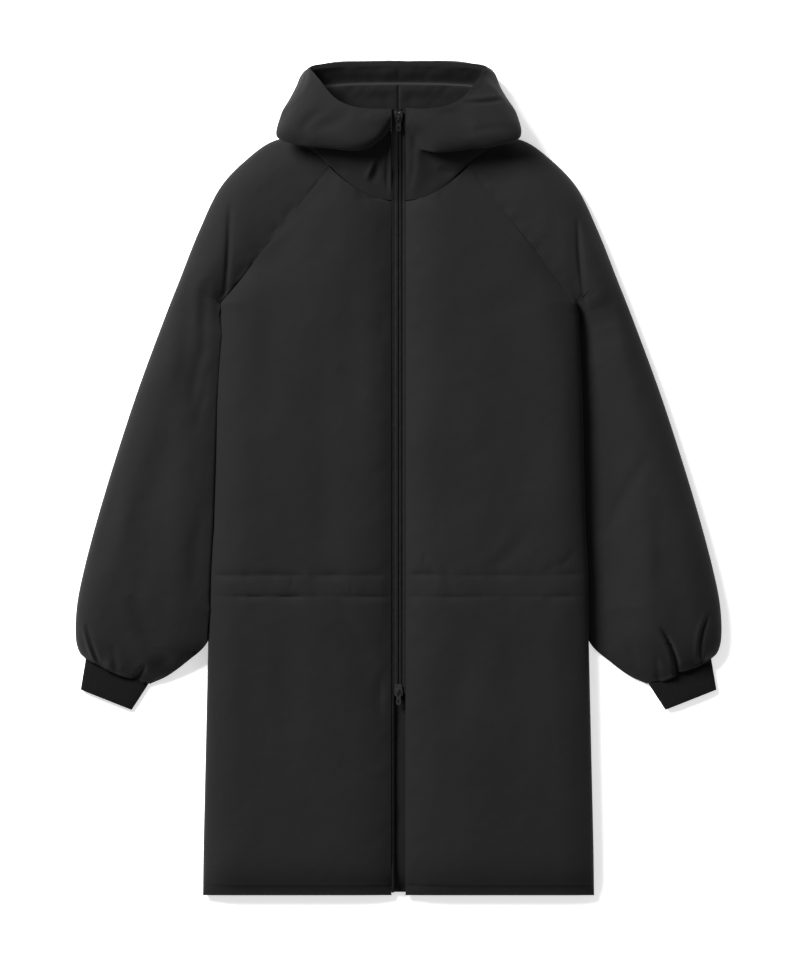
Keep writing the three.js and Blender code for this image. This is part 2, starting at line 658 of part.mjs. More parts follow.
// Inside face of the folded crown at the nape: up to a ridge, down to a dip and up to the lip
function padCurve(section) {
  const neck = new THREE.Vector3(section.neckX, section.neckY, HOOD_PAD_NECK);
  const rim = new THREE.Vector3(section.rimX, section.rimY, section.rimZ - 1);
  const inward = new THREE.Vector3().subVectors(neck, rim).setZ(0).normalize();
  const lip = rim.clone().addScaledVector(inward, HOOD_LIP);
  const ridge = neck.clone().lerp(rim, 0.68).setZ(HOOD_PAD_RIDGE);
  const dip = neck.clone().lerp(rim, 0.82).setZ(HOOD_PAD_DIP);
  const rise = neck.clone().lerp(rim, 0.38).setZ(mix(HOOD_PAD_NECK, HOOD_PAD_RIDGE, 0.7));
  return [neck, rise, ridge, dip, lip];
}

function smoothLine(points, count) {
  return new THREE.CatmullRomCurve3(points, false, 'centripetal').getPoints(count);
}

function hoodHalf(side) {
  const fineOuter = HOOD_SECTIONS.map((section) => smoothLine(hoodCurve(section), HOOD_RINGS));
  const finePad = HOOD_SECTIONS.map((section) => smoothLine(padCurve(section), HOOD_RINGS));
  const across = (lines, ring) => smoothLine(lines.map((line) => line[ring]), HOOD_COLUMNS);
  const rings = Array.from({ length: HOOD_RINGS + 1 }, (_, ring) => ring);
  const outer = rings.map((ring) => across(fineOuter, ring));
  const pads = rings.map((ring) => across(finePad, ring));
  const padShares = Array.from({ length: HOOD_COLUMNS + 1 }, (_, column) => {
    const place = (column / HOOD_COLUMNS) * (HOOD_SECTIONS.length - 1);
    const before = Math.floor(place);
    const after = Math.min(HOOD_SECTIONS.length - 1, before + 1);
    return mix(HOOD_SECTIONS[before].pad, HOOD_SECTIONS[after].pad, place - before);
  });
  const inner = outer.map((line, ring) => line.map((point, column) => {
    const ahead = outer[Math.min(HOOD_RINGS, ring + 1)][column];
    const behind = outer[Math.max(0, ring - 1)][column];
    const right = line[Math.min(HOOD_COLUMNS, column + 1)];
    const left = line[Math.max(0, column - 1)];
    const up = new THREE.Vector3().subVectors(ahead, behind);
    const round = new THREE.Vector3().subVectors(right, left);
    const inward = new THREE.Vector3().crossVectors(up, round).setLength(HOOD_WALL);
    if (column === 0 || column === HOOD_COLUMNS) {
      inward.setX(0).setLength(HOOD_WALL);
    }
    const offset = point.clone().add(inward);
    return offset.lerp(pads[ring][column], padShares[column]);
  }));
  const mirrored = (grid) =>
    grid.map((line) => line.map((point) => new THREE.Vector3(side * point.x, point.y, Math.max(0, point.z))));
  return wallGeometry(mirrored(outer), mirrored(inner));
}

addPiece('hood_left', hoodHalf(1), shellCloth);
addPiece('hood_right', hoodHalf(-1), shellCloth);

// Zip: a tape on each front edge. The right one shows as a strip down to the hem.

const zipHeight = (y) => readTable(ZIP_LINE, 'y', 'z', y);

function zipTapeStrip(side) {
  const top = [];
  const bottom = [];
  const addLevel = (y, innerX) => {
    const z = zipHeight(y);
    const places = [innerX, mix(innerX, TAPE_EDGE_X, 0.5), TAPE_EDGE_X];
    const row = places.map((x) => new THREE.Vector3(side * x, y, z));
    top.push(row);
    bottom.push(row.map((point) => point.clone().setZ(z - TAPE_THICKNESS)));
  };
  for (const y of TAPE_LEVELS) {
    addLevel(y, TAPE_CENTRE_GAP);
  }
  if (side < 0) {
    for (const y of VENT_LEVELS) {
      addLevel(y, VENT_STRIP_INNER_X);
    }
  }
  return wallGeometry(top, bottom);
}

addPiece('zip_tape_left', zipTapeStrip(1), zipTape);
addPiece('zip_tape_right', zipTapeStrip(-1), zipTape);

// Sliders and pull tabs

const wasm = await Module();
wasm.setup();

function toSolid(geometry) {
  const merged = geometry.clone();
  merged.deleteAttribute('normal');
  merged.deleteAttribute('uv');
  const clean = mergeVertices(merged, 1e-4);
  const mesh = new wasm.Mesh({
    numProp: 3,
    vertProperties: new Float32Array(clean.attributes.position.array),
    triVerts: new Uint32Array(clean.index.array),
  });
  return new wasm.Manifold(mesh);
}

function fromSolid(solid) {
  const mesh = solid.getMesh();
  const geometry = new THREE.BufferGeometry();
  geometry.setAttribute('position', new THREE.BufferAttribute(mesh.vertProperties, 3));
  geometry.setIndex(new THREE.BufferAttribute(mesh.triVerts, 1));
  geometry.computeVertexNormals();
  return geometry;
}

// Body of a slider, wide where the rows of teeth part, with the bridge that carries its pull
function sliderGeometry(wideEnd) {
  const half = SLIDER_LENGTH / 2;
  const outline = new THREE.Shape();
  outline.moveTo(-SLIDER_NARROW / 2 + 1, -wideEnd * half);
  outline.lineTo(SLIDER_NARROW / 2 - 1, -wideEnd * half);
  outline.lineTo(SLIDER_NARROW / 2, -wideEnd * (half - 1.5));
  outline.lineTo(SLIDER_WIDE / 2, wideEnd * (half - 6));
  outline.lineTo(SLIDER_WIDE / 2 - 0.6, wideEnd * (half - 1));
  outline.quadraticCurveTo(SLIDER_WIDE / 4, wideEnd * half, 0, wideEnd * (half - 1.6));
  outline.quadraticCurveTo(-SLIDER_WIDE / 4, wideEnd * half, -SLIDER_WIDE / 2 + 0.6, wideEnd * (half - 1));
  outline.lineTo(-SLIDER_WIDE / 2, wideEnd * (half - 6));
  outline.lineTo(-SLIDER_NARROW / 2, -wideEnd * (half - 1.5));
  const plate = new THREE.ExtrudeGeometry(outline, {
    depth: SLIDER_THICKNESS - 0.8,
    bevelEnabled: true,
    bevelThickness: 0.4,
    bevelSize: 0.4,
    bevelOffset: -0.4,
    bevelSegments: 1,
    curveSegments: 5,
  });
  plate.translate(0, 0, SEAM_GAP + 0.4);
  const bridge = new THREE.Shape();
  bridge.moveTo(-3.8, 2.4);
  bridge.lineTo(2.4, 2.4);
  bridge.lineTo(2, 5.4);
  bridge.lineTo(1.1, 6.2);
  bridge.lineTo(-2.7, 6.2);
  bridge.lineTo(-3.6, 5.4);
  const eye = new THREE.Path();
  eye.moveTo(-2.9, 3.1);
  eye.lineTo(-2.9, 5.1);
  eye.lineTo(1.1, 5.1);
  eye.lineTo(1.1, 3.1);
  bridge.holes.push(eye);
  const arch = new THREE.ExtrudeGeometry(bridge, { depth: BRIDGE_WIDTH, bevelEnabled: false });
  arch.rotateX(Math.PI / 2);
  arch.rotateZ(Math.PI / 2);
  arch.translate(-BRIDGE_WIDTH / 2, 0, 0);
  return fromSolid(toSolid(plate).add(toSolid(arch)));
}

// Pull tab: an eye that loops round the bridge and a flat tab, its axis at the origin
function pullGeometry() {
  const half = PULL_WIDTH / 2;
  const tab = new THREE.Shape();
  tab.moveTo(-2.5, 0.55);
  tab.lineTo(2.5, 0.55);
  tab.lineTo(2.7, -5.4);
  tab.lineTo(half, -PULL_LENGTH + 2.4);
  tab.quadraticCurveTo(half, -PULL_LENGTH, 0, -PULL_LENGTH);
  tab.quadraticCurveTo(-half, -PULL_LENGTH, -half, -PULL_LENGTH + 2.4);
  tab.lineTo(-2.7, -5.4);
  const eye = new THREE.Path();
  eye.moveTo(-1.4, -0.55);
  eye.lineTo(-1.5, -5.6);
  eye.lineTo(1.5, -5.6);
  eye.lineTo(1.4, -0.55);
  tab.holes.push(eye);
  const slot = new THREE.Path();
  slot.absellipse(0, -11.5, 1.1, 2.2, 0, 2 * Math.PI, false);
  tab.holes.push(slot);
  const plate = new THREE.ExtrudeGeometry(tab, {
    depth: PULL_THICKNESS,
    bevelEnabled: false,
    curveSegments: 4,
  });
  plate.translate(0, 0, -PULL_THICKNESS / 2);
  return plate;
}

// A slider with its pull, tilted with the zip where it sits
function addSlider(label, y, wideEnd) {
  const reach = 6;
  const tilt = Math.atan2(zipHeight(y + reach) - zipHeight(y - reach), 2 * reach);
  const seat = new THREE.Group();
  seat.position.set(0, y, zipHeight(y) + 0.25);
  seat.rotation.x = tilt;
  const slider = new THREE.Mesh(sliderGeometry(wideEnd), zipMetal);
  slider.name = `slider_${label}`;
  const pull = new THREE.Mesh(pullGeometry(), zipMetal);
  pull.name = `pull_${label}`;
  pull.position.set(0, PULL_AXIS_Y, PULL_AXIS_Z);
  seat.add(slider, pull);
  parka.add(seat);
}

addSlider('top', 462, 1);
addSlider('bottom', LOWER_SLIDER_Y + 4, -1);

// The origin is under the middle of the coat, on the surface it lies on
const extent = new THREE.Box3().setFromObject(parka);
parka.position.set(-(extent.min.x + extent.max.x) / 2, -(extent.min.y + extent.max.y) / 2, -extent.min.z);

export default parka;
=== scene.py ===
# %% [markdown]
# # A long hooded parka, laid flat
#
# The coat lies on its back, front up. Two padded fronts lie on the back, raglan sleeves are gathered
# into rib cuffs, a collapsed hood stands round the neck, and a two-way zip runs up the middle.
# The frame gives the coat's place, its bodies and its metal parts. The sewing sizes are repeated here,
# and each cloth piece is rebuilt close to its solid with a finer mesh, so that seams, puckers and
# creases are real shape. Most of each piece lies within 6 mm of its solid, and the right sleeve leaves
# it by up to 17 mm beside the body. We start by loading the frame.

# %% Load the frame
import math

import bpy
import numpy as np
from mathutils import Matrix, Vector


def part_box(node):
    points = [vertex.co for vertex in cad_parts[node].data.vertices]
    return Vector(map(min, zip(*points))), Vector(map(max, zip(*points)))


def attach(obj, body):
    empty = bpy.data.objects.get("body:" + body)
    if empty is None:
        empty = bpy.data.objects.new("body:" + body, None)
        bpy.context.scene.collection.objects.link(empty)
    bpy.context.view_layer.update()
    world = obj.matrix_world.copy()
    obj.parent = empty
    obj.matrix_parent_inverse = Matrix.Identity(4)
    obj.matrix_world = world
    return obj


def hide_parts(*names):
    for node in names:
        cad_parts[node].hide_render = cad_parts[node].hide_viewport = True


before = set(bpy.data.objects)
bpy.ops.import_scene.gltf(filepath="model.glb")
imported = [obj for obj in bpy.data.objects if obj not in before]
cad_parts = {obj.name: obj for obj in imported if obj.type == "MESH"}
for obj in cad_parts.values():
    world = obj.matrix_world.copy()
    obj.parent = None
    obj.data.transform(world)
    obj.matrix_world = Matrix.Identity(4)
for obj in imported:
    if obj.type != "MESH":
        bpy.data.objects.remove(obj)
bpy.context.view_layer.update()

# %% [markdown]
# All the sewing sizes are in millimetres, measured from the coat's own middle line and from the level
# where its pattern starts. One shift carries them into the frame, read off the front hem.

# %% Units and the shift into the frame
MM = 0.001
FRONT_HEM_Y = -534.0
BACK_HEM_Y = -530.0
SHIFT_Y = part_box("front_left")[0][1] / MM - FRONT_HEM_Y
LEFT, RIGHT = 1, -1
print("pattern shift along Y: %.2f mm" % SHIFT_Y)

# %% [markdown]
# ## Helpers for cloth surfaces
#
# A cloth surface is a grid of points whose heights come from short formulas: a roll at each edge, a
# bell for each groove or crease, and smooth noise for the small unevenness of padding. NumPy works on
# the whole grid at once.

# %% Shape formulas
def smooth(share):
    share = np.clip(share, 0, 1)
    return share * share * (3 - 2 * share)


def mix(a, b, share):
    return a + (b - a) * share


def bell(distance, width):
    return np.exp(-((distance / width) ** 2))


def roll(distance, reach):
    """Quarter-round rise from 0 at an edge to 1 at its reach."""
    share = np.clip(distance / reach, 0, 1)
    return np.sqrt(1 - (1 - share) ** 2)


def ramp_up(distance, reach):
    """Soft rise from 0 at a crease to 1 at its reach."""
    return 1 - (1 - np.clip(distance / reach, 0, 1)) ** 2


def uneven(x, y, grain, seed):
    """Smooth noise from -1 to 1 with a given grain, the same on every run."""
    table = np.random.default_rng(seed).uniform(-1, 1, (64, 64))
    u, v = np.asarray(x) / grain + 1000.3, np.asarray(y) / grain + 1000.7
    column, row = np.floor(u).astype(int), np.floor(v).astype(int)
    s, t = smooth(u - column), smooth(v - row)
    pick = lambda i, j: table[(row + j) % 64, (column + i) % 64]
    return mix(mix(pick(0, 0), pick(1, 0), s), mix(pick(0, 1), pick(1, 1), s), t)


def line_distance(x, y, fold):
    """Distance to a fold's line and the share of the way along it."""
    x1, y1, x2, y2 = fold["from"] + fold["to"]
    along = ((x - x1) * (x2 - x1) + (y - y1) * (y2 - y1)) / ((x2 - x1) ** 2 + (y2 - y1) ** 2)
    share = np.clip(along, 0, 1)
    bend = fold.get("bend", 0) * np.sin(np.pi * share)
    length = math.hypot(x2 - x1, y2 - y1)
    near_x = x1 + (x2 - x1) * share - bend * (y2 - y1) / length
    near_y = y1 + (y2 - y1) * share + bend * (x2 - x1) / length
    return np.hypot(x - near_x, y - near_y), share


def fold_depth(folds, side, x, y):
    """Depth that the folds of one side press into the cloth. A negative depth is a ridge."""
    depth = np.zeros_like(np.asarray(x, dtype=float))
    for fold in folds:
        if fold["side"] in (side, 0):
            distance, share = line_distance(x, y, fold)
            fade = np.sin(np.pi * share) ** 0.7
            if fold.get("open_end"):
                fade = smooth(share * 3)
            depth += fold["depth"] * bell(distance, fold["width"]) * fade
    return depth


print("shape formulas ready")

# %% [markdown]
# A wall is made from two grids: a fine one for the face that shows and a coarser one for the hidden
# face. Their borders are zipped together, so each piece is one closed body. The UV map is laid out in
# millimetres of cloth, so a weave keeps its size and follows the piece.

# %% Walls from two grids
SHARP_FROM_DEGREES = 62


def grid_lengths(points):
    """Running length of a grid along its rows and its columns, in millimetres."""
    across = np.linalg.norm(np.diff(points, axis=1), axis=2)
    along = np.linalg.norm(np.diff(points, axis=0), axis=2)
    u = np.concatenate([np.zeros((points.shape[0], 1)), np.cumsum(across, axis=1)], axis=1)
    v = np.concatenate([np.zeros((1, points.shape[1])), np.cumsum(along, axis=0)], axis=0)
    return u, v


def zip_borders(fine, coarse, fine_at=None, coarse_at=None):
    """Triangles between two lists of vertex numbers that run side by side at the given places."""
    faces = []
    i = j = 0
    last_i, last_j = len(fine) - 1, len(coarse) - 1
    fine_at = np.linspace(0, 1, len(fine)) if fine_at is None else fine_at
    coarse_at = np.linspace(0, 1, len(coarse)) if coarse_at is None else coarse_at
    while i < last_i or j < last_j:
        if j == last_j or (i < last_i and fine_at[i + 1] <= coarse_at[j + 1]):
            faces.append((fine[i], fine[i + 1], coarse[j]))
            i += 1
        else:
            faces.append((fine[i], coarse[j + 1], coarse[j]))
            j += 1
    return faces


def cloth_wall(name, outer, inner, material, ring=False, outer_rows=None, last_rows=None):
    """One closed piece between an outer and an inner grid of points in millimetres.

    outer_rows gives the place of each outer row from 0 to 1 where the rows aren't even, and
    last_rows the same for the border at the last column."""
    vertices = np.concatenate([outer.reshape(-1, 3), inner.reshape(-1, 3)])
    first_inner = outer.shape[0] * outer.shape[1]
    faces, lengths = [], []
    numbers = []
    for grid, first, reverse in ((outer, 0, False), (inner, first_inner, True)):
        rows, columns = grid.shape[:2]
        number = first + np.arange(rows * columns).reshape(rows, columns)
        if ring:
            number = np.concatenate([number, number[:, :1]], axis=1)
            grid = np.concatenate([grid, grid[:, :1]], axis=1)
        quads = np.stack([number[:-1, :-1], number[:-1, 1:], number[1:, 1:], number[1:, :-1]], axis=-1)
        u, v = grid_lengths(grid)
        corners = [np.stack([c[:-1, :-1], c[:-1, 1:], c[1:, 1:], c[1:, :-1]], axis=-1) for c in (u, v)]
        quads, corners = quads.reshape(-1, 4), [c.reshape(-1, 4) for c in corners]
        if reverse:
            quads, corners = quads[:, ::-1], [c[:, ::-1] for c in corners]
        faces.extend(map(tuple, quads.tolist()))
        lengths.append(np.stack(corners, axis=-1).reshape(-1, 2))
        numbers.append(number)
    fine, coarse = numbers
    borders = zip_borders(fine[-1].tolist(), coarse[-1].tolist())
    borders += [face[::-1] for face in zip_borders(fine[0].tolist(), coarse[0].tolist())]
    if not ring:
        last_rows = outer_rows if last_rows is None else last_rows
        borders += zip_borders(fine[:, 0].tolist(), coarse[:, 0].tolist(), outer_rows)
        last_border = zip_borders(fine[:, -1].tolist(), coarse[:, -1].tolist(), last_rows)
        borders += [face[::-1] for face in last_border]
    faces.extend(borders)
    lengths.append(np.zeros((3 * len(borders), 2)))
    return piece_from_faces(name, vertices, faces, np.concatenate(lengths), material)


def piece_from_faces(name, vertices, faces, cloth_uv, material):
    """A smooth-shaded object in metres, in the frame, with its faces pointing out."""
    placed = (np.asarray(vertices, dtype=float) + [0, SHIFT_Y, 0]) * MM
    mesh = bpy.data.meshes.new(name)
    mesh.from_pydata(placed.tolist(), [], faces)
    layer = mesh.uv_layers.new(name="cloth")
    layer.data.foreach_set("uv", (np.asarray(cloth_uv) * MM).ravel())
    mesh.materials.append(material)
    mesh.polygons.foreach_set("use_smooth", [True] * len(mesh.polygons))
    mesh.update()
    if signed_volume(mesh) < 0:
        mesh.flip_normals()
    mesh.set_sharp_from_angle(angle=math.radians(SHARP_FROM_DEGREES))
    piece = bpy.data.objects.new(name, mesh)
    bpy.context.scene.collection.objects.link(piece)
    print("%s: %d faces" % (name, len(mesh.polygons)))
    return piece


def signed_volume(mesh):
    mesh.calc_loop_triangles()
    points = np.empty(len(mesh.vertices) * 3)
    mesh.vertices.foreach_get("co", points)
    corners = np.empty(len(mesh.loop_triangles) * 3, dtype=np.int32)
    mesh.loop_triangles.foreach_get("vertices", corners)
    a, b, c = points.reshape(-1, 3)[corners.reshape(-1, 3)].transpose(1, 0, 2)
    return float(np.einsum("ij,ij->i", a, np.cross(b, c)).sum()) / 6


print("wall builder ready")

# %% [markdown]
# ## Materials
#
# The shell is a matt black, closely woven cloth. Its colour is nearly flat, so what shows is its soft
# sheen on faces that turn away, a fine plain weave, and small crumples. The weave is two sets of
# waves on the cloth's own UV map, in millimetres of cloth.

# %% Node helpers
def new_material(name, **sockets):
    material = bpy.data.materials.new(name)
    material.use_nodes = True
    shader = material.node_tree.nodes["Principled BSDF"]
    for label, value in sockets.items():
        shader.inputs[label.replace("_", " ")].default_value = value
    return material, material.node_tree, shader


def add_node(tree, kind, **values):
    node = tree.nodes.new(kind)
    for label, value in values.items():
        if hasattr(node, label):
            setattr(node, label, value)
        else:
            node.inputs[label.replace("_", " ")].default_value = value
    return node


def uv_threads(tree, pitch_mm, turn=0.0):
    """The piece's own cloth map, scaled so that one unit is one thread."""
    uv = add_node(tree, "ShaderNodeUVMap", uv_map="cloth")
    mapping = add_node(tree, "ShaderNodeMapping")
    mapping.inputs["Scale"].default_value = (1 / (pitch_mm * MM),) * 3
    mapping.inputs["Rotation"].default_value = (0, 0, turn)
    tree.links.new(uv.outputs["UV"], mapping.inputs["Vector"])
    return mapping.outputs["Vector"]


def noise_on(tree, scale, detail=3.0, roughness=0.55):
    place = add_node(tree, "ShaderNodeTexCoord")
    noise = add_node(tree, "ShaderNodeTexNoise", Scale=scale, Detail=detail, Roughness=roughness)
    tree.links.new(place.outputs["Object"], noise.inputs["Vector"])
    return noise.outputs["Fac"]


def colour_between(tree, shader, factor, dark, light, low=0.3, high=0.7):
    """Base colour between a dark and a light tone, spread by a noise."""
    ramp = add_node(tree, "ShaderNodeValToRGB")
    ramp.color_ramp.elements[0].position, ramp.color_ramp.elements[0].color = low, (*dark, 1)
    ramp.color_ramp.elements[1].position, ramp.color_ramp.elements[1].color = high, (*light, 1)
    tree.links.new(factor, ramp.inputs["Fac"])
    tree.links.new(ramp.outputs["Color"], shader.inputs["Base Color"])


def bump_stack(tree, shader, *layers):
    """Bump nodes in a row, each layer being (height socket, strength, distance in mm)."""
    normal = None
    for height, strength, distance in layers:
        bump = add_node(tree, "ShaderNodeBump", Strength=strength, Distance=distance * MM)
        tree.links.new(height, bump.inputs["Height"])
        if normal is not None:
            tree.links.new(normal, bump.inputs["Normal"])
        normal = bump.outputs["Normal"]
    tree.links.new(normal, shader.inputs["Normal"])


ABOUT_ONE_WAVE_PER_THREAD = 1 / 6.2832 * 2


def waves(tree, vector, direction):
    wave = add_node(tree, "ShaderNodeTexWave", bands_direction=direction, wave_profile="SIN",
                    Scale=ABOUT_ONE_WAVE_PER_THREAD)
    tree.links.new(vector, wave.inputs["Vector"])
    return wave.outputs["Fac"]


def combine(tree, a, b, operation="MULTIPLY"):
    node = add_node(tree, "ShaderNodeMath", operation=operation)
    tree.links.new(a, node.inputs[0])
    tree.links.new(b, node.inputs[1])
    return node.outputs["Value"]


print("node helpers ready")

# %% Shell cloth
def make_shell_cloth(name, dark, light):
    material, tree, shader = new_material(
        name, Roughness=0.85, Sheen_Weight=0.05, Sheen_Roughness=0.5, Specular_IOR_Level=0.12)
    threads = uv_threads(tree, 0.45)
    weave = combine(tree, waves(tree, threads, "X"), waves(tree, threads, "Y"), "ADD")
    cloudy = noise_on(tree, 9.0, 4.0)
    colour_between(tree, shader, cloudy, dark, light)
    crumple = noise_on(tree, 95.0, 4.0, 0.6)
    bump_stack(tree, shader, (crumple, 0.22, 0.9), (weave, 0.35, 0.05))
    return material


shell_cloth = make_shell_cloth("shell_cloth", (0.0054, 0.0054, 0.0057), (0.0068, 0.0068, 0.0071))
# A darker copy of the shell cloth: painted shade for the back's inside, seen in the deep gap between the
# fronts.
painted_shade_cloth = make_shell_cloth("painted_shade_cloth", (0.0036, 0.0036, 0.0038), (0.0046, 0.0046, 0.0048))
print("shell cloth made")

# %% [markdown]
# The cuffs are a tight rib knit, darker and duller than the shell. The ribs are real shape; the small
# knitted loops that run down each rib are bump on the cuff's own map.

# %% Knit, tape, thread and metal
def make_cuff_knit():
    material, tree, shader = new_material(
        "cuff_knit", Roughness=0.96, Sheen_Weight=0.02, Sheen_Roughness=0.6, Specular_IOR_Level=0.05)
    loops = uv_threads(tree, 1.3)
    knit = combine(tree, waves(tree, loops, "Y"), waves(tree, loops, "X"), "MULTIPLY")
    fuzz = noise_on(tree, 420.0, 3.0, 0.7)
    colour_between(tree, shader, fuzz, (0.0036, 0.0036, 0.0038), (0.0058, 0.0058, 0.0061))
    bump_stack(tree, shader, (knit, 0.1, 0.06), (fuzz, 0.35, 0.12))
    return material


def make_zip_tape():
    material, tree, shader = new_material(
        "zip_tape", Roughness=0.85, Sheen_Weight=0.03, Specular_IOR_Level=0.12)
    twill = waves(tree, uv_threads(tree, 0.7, math.radians(35)), "X")
    speck = noise_on(tree, 160.0)
    colour_between(tree, shader, speck, (0.0034, 0.0034, 0.0036), (0.0056, 0.0056, 0.0059))
    bump_stack(tree, shader, (twill, 0.6, 0.12))
    return material


def make_thread():
    material, tree, shader = new_material("thread", Roughness=0.7, Sheen_Weight=0.05, Specular_IOR_Level=0.15)
    speck = noise_on(tree, 900.0)
    colour_between(tree, shader, speck, (0.0050, 0.0050, 0.0053), (0.0090, 0.0090, 0.0094))
    bump_stack(tree, shader, (speck, 0.4, 0.1))
    return material


def make_zip_teeth():
    material, tree, shader = new_material("zip_teeth", Roughness=0.5, Specular_IOR_Level=0.2)
    speck = noise_on(tree, 300.0)
    colour_between(tree, shader, speck, (0.0026, 0.0026, 0.0028), (0.0050, 0.0050, 0.0053))
    bump_stack(tree, shader, (speck, 0.2, 0.05))
    return material


def make_zip_metal():
    material, tree, shader = new_material("zip_metal", Metallic=0.7, Roughness=0.42)
    wear = noise_on(tree, 210.0, 5.0, 0.65)
    colour_between(tree, shader, wear, (0.014, 0.014, 0.0145), (0.034, 0.034, 0.035), 0.35, 0.75)
    rough = add_node(tree, "ShaderNodeMapRange", To_Min=0.34, To_Max=0.55)
    tree.links.new(wear, rough.inputs["Value"])
    tree.links.new(rough.outputs["Result"], shader.inputs["Roughness"])
    bump_stack(tree, shader, (wear, 0.15, 0.05))
    return material


cuff_knit, zip_tape, thread = make_cuff_knit(), make_zip_tape(), make_thread()
zip_teeth, zip_metal = make_zip_teeth(), make_zip_metal()
print("materials:", [m.name for m in bpy.data.materials])

# %% [markdown]
# ## The body's form
#
# The two fronts lie on the back. Each side rolls down over about 46 mm to a low side seam, and that
# roll carries on above the underarm as the fold that parts the sleeve from the body. The front edges
# roll down to the zip, the hem is thin, and the neck and raglan seams pull small puckers.

# %% Sizes of the body
UNDERARM = (228.0, 226.0)
FRONT_RAGLAN_TOP = (88.0, 399.0)
BACK_RAGLAN_TOP = (76.0, 447.0)
NECK_FRONT_Y = 357.0
NECK_CURVE_POWER = 1.9
ZIP_OPENING_HALF = 9.0
SEAM_GAP, SEAM_LAP = 0.3, 0.25
BACK_TOP, FRONT_PADDING = 16.0, 21.0
SIDE_SEAM_HEIGHT, SIDE_EDGE_PADDING, SIDE_UNDERCUT = 12.0, 3.5, 8.5
SIDE_ROLL, UNDERCUT_WIDTH = 46.0, 40.0
CENTRE_EDGE_PADDING, CENTRE_ROLL = 7.0, {LEFT: 62.0, RIGHT: 74.0}
NECK_EDGE_PADDING, RAGLAN_EDGE_PADDING, NECK_ROLL = 14.0, 17.0, 26.0
HEM_PADDING, HEM_ROLL, HEM_FLAT = 7.0, 44.0, 14.0
SIDE_SEAM_Y = [-534, -470, -206, -123, -52, 101, 208, 226, 360]
SIDE_SEAM_X = [251, 250, 244, 243, 239.5, 236, 231, 228, 216]
CASING_ROWS = (-123.0, -151.0)
INSIDE_FACES_UP = 0.5


def side_edge(y):
    return np.interp(y, SIDE_SEAM_Y, SIDE_SEAM_X)


def below_underarm(y):
    return smooth((UNDERARM[1] - y) / (UNDERARM[1] - 208))


def split_height(edge_distance, y):
    """Height where the front lies on the back."""
    side_drop = (BACK_TOP - SIDE_SEAM_HEIGHT) * below_underarm(y) * (1 - roll(edge_distance, SIDE_ROLL))
    hem_share = roll(y - FRONT_HEM_Y - HEM_FLAT, HEM_ROLL)
    return mix(HEM_PADDING, BACK_TOP, hem_share) - side_drop * hem_share


def back_underside(edge_distance, y):
    share = np.clip(1 - edge_distance / UNDERCUT_WIDTH, 0, 1) ** 1.5
    return SIDE_UNDERCUT * share * below_underarm(y) * mix(0.45, 1, smooth((y - FRONT_HEM_Y) / 130))


print("body half width at the hem and the underarm:", side_edge(FRONT_HEM_Y), side_edge(UNDERARM[1]))

# %% [markdown]
# ## The two fronts
#
# Each front is one padded panel. Two rows of stitching at the waist make a channel, and small puckers
# of uneven length run out of it. Long soft waves hang down from the neck, and short creases lead to
# the lower slider, where the zip opens. The edges along the zip are turned in, so they ripple a little.

# %% Folds of the fronts
FRONT_FOLDS = [
    {"side": -1, "from": (60, 290), "to": (44, -60), "width": 20, "depth": 2.6, "bend": 9},
    {"side": -1, "from": (112, 200), "to": (96, -95), "width": 24, "depth": 2.0, "bend": -12},
    {"side": -1, "from": (150, 330), "to": (168, 60), "width": 26, "depth": 1.5, "bend": 10},
    {"side": -1, "from": (78, 142), "to": (40, 108), "width": 7, "depth": 1.3},
    {"side": -1, "from": (96, -190), "to": (20, -285), "width": 15, "depth": 3.0, "bend": -6},
    {"side": -1, "from": (70, -170), "to": (24, -240), "width": 8, "depth": 1.3, "bend": 4},
    {"side": -1, "from": (150, -180), "to": (120, -330), "width": 24, "depth": 2.0, "bend": 8},
    {"side": -1, "from": (82, -156), "to": (60, -182), "width": 5, "depth": 1.4},
    {"side": -1, "from": (12, -232), "to": (25, -308), "width": 9, "depth": 2.2, "bend": 2},
    {"side": -1, "from": (200, -200), "to": (186, -430), "width": 26, "depth": 1.4, "bend": -9},
    {"side": 1, "from": (172, -58), "to": (112, -118), "width": 12, "depth": 1.4, "bend": 6},
    {"side": 1, "from": (150, -66), "to": (96, -116), "width": 8, "depth": -0.6, "bend": 4},
    {"side": 1, "from": (70, 120), "to": (62, -90), "width": 26, "depth": 1.8, "bend": -8},
    {"side": 1, "from": (140, 300), "to": (128, 30), "width": 28, "depth": 1.4, "bend": 11},
    {"side": 1, "from": (90, -175), "to": (60, -330), "width": 24, "depth": 2.0, "bend": 7},
    {"side": 1, "from": (172, -170), "to": (150, -400), "width": 26, "depth": 1.5, "bend": -8},
    {"side": 1, "from": (180, 250), "to": (96, 210), "width": 22, "depth": 1.8, "bend": 7},
    {"side": -1, "from": (136, -124), "to": (136, -140), "width": 2.2, "depth": 1.5},
    {"side": -1, "from": (60, -130), "to": (60, -153), "width": 2, "depth": 0.9},
    {"side": 1, "from": (33, -96), "to": (33, -112), "width": 2.2, "depth": 1.2},
    {"side": 1, "from": (218, -104), "to": (184, -119), "width": 6, "depth": 1.0},
    {"side": 1, "from": (226, -92), "to": (206, -116), "width": 5, "depth": 0.8},
]
GROOVE_CORE, GROOVE_CORE_WIDTH = 1.5, 1.7
CASING_STRENGTH = [0.5, 0.8]
GROOVE_TROUGH, GROOVE_TROUGH_WIDTH = 0.9, 6.0
print("front folds:", len(FRONT_FOLDS))

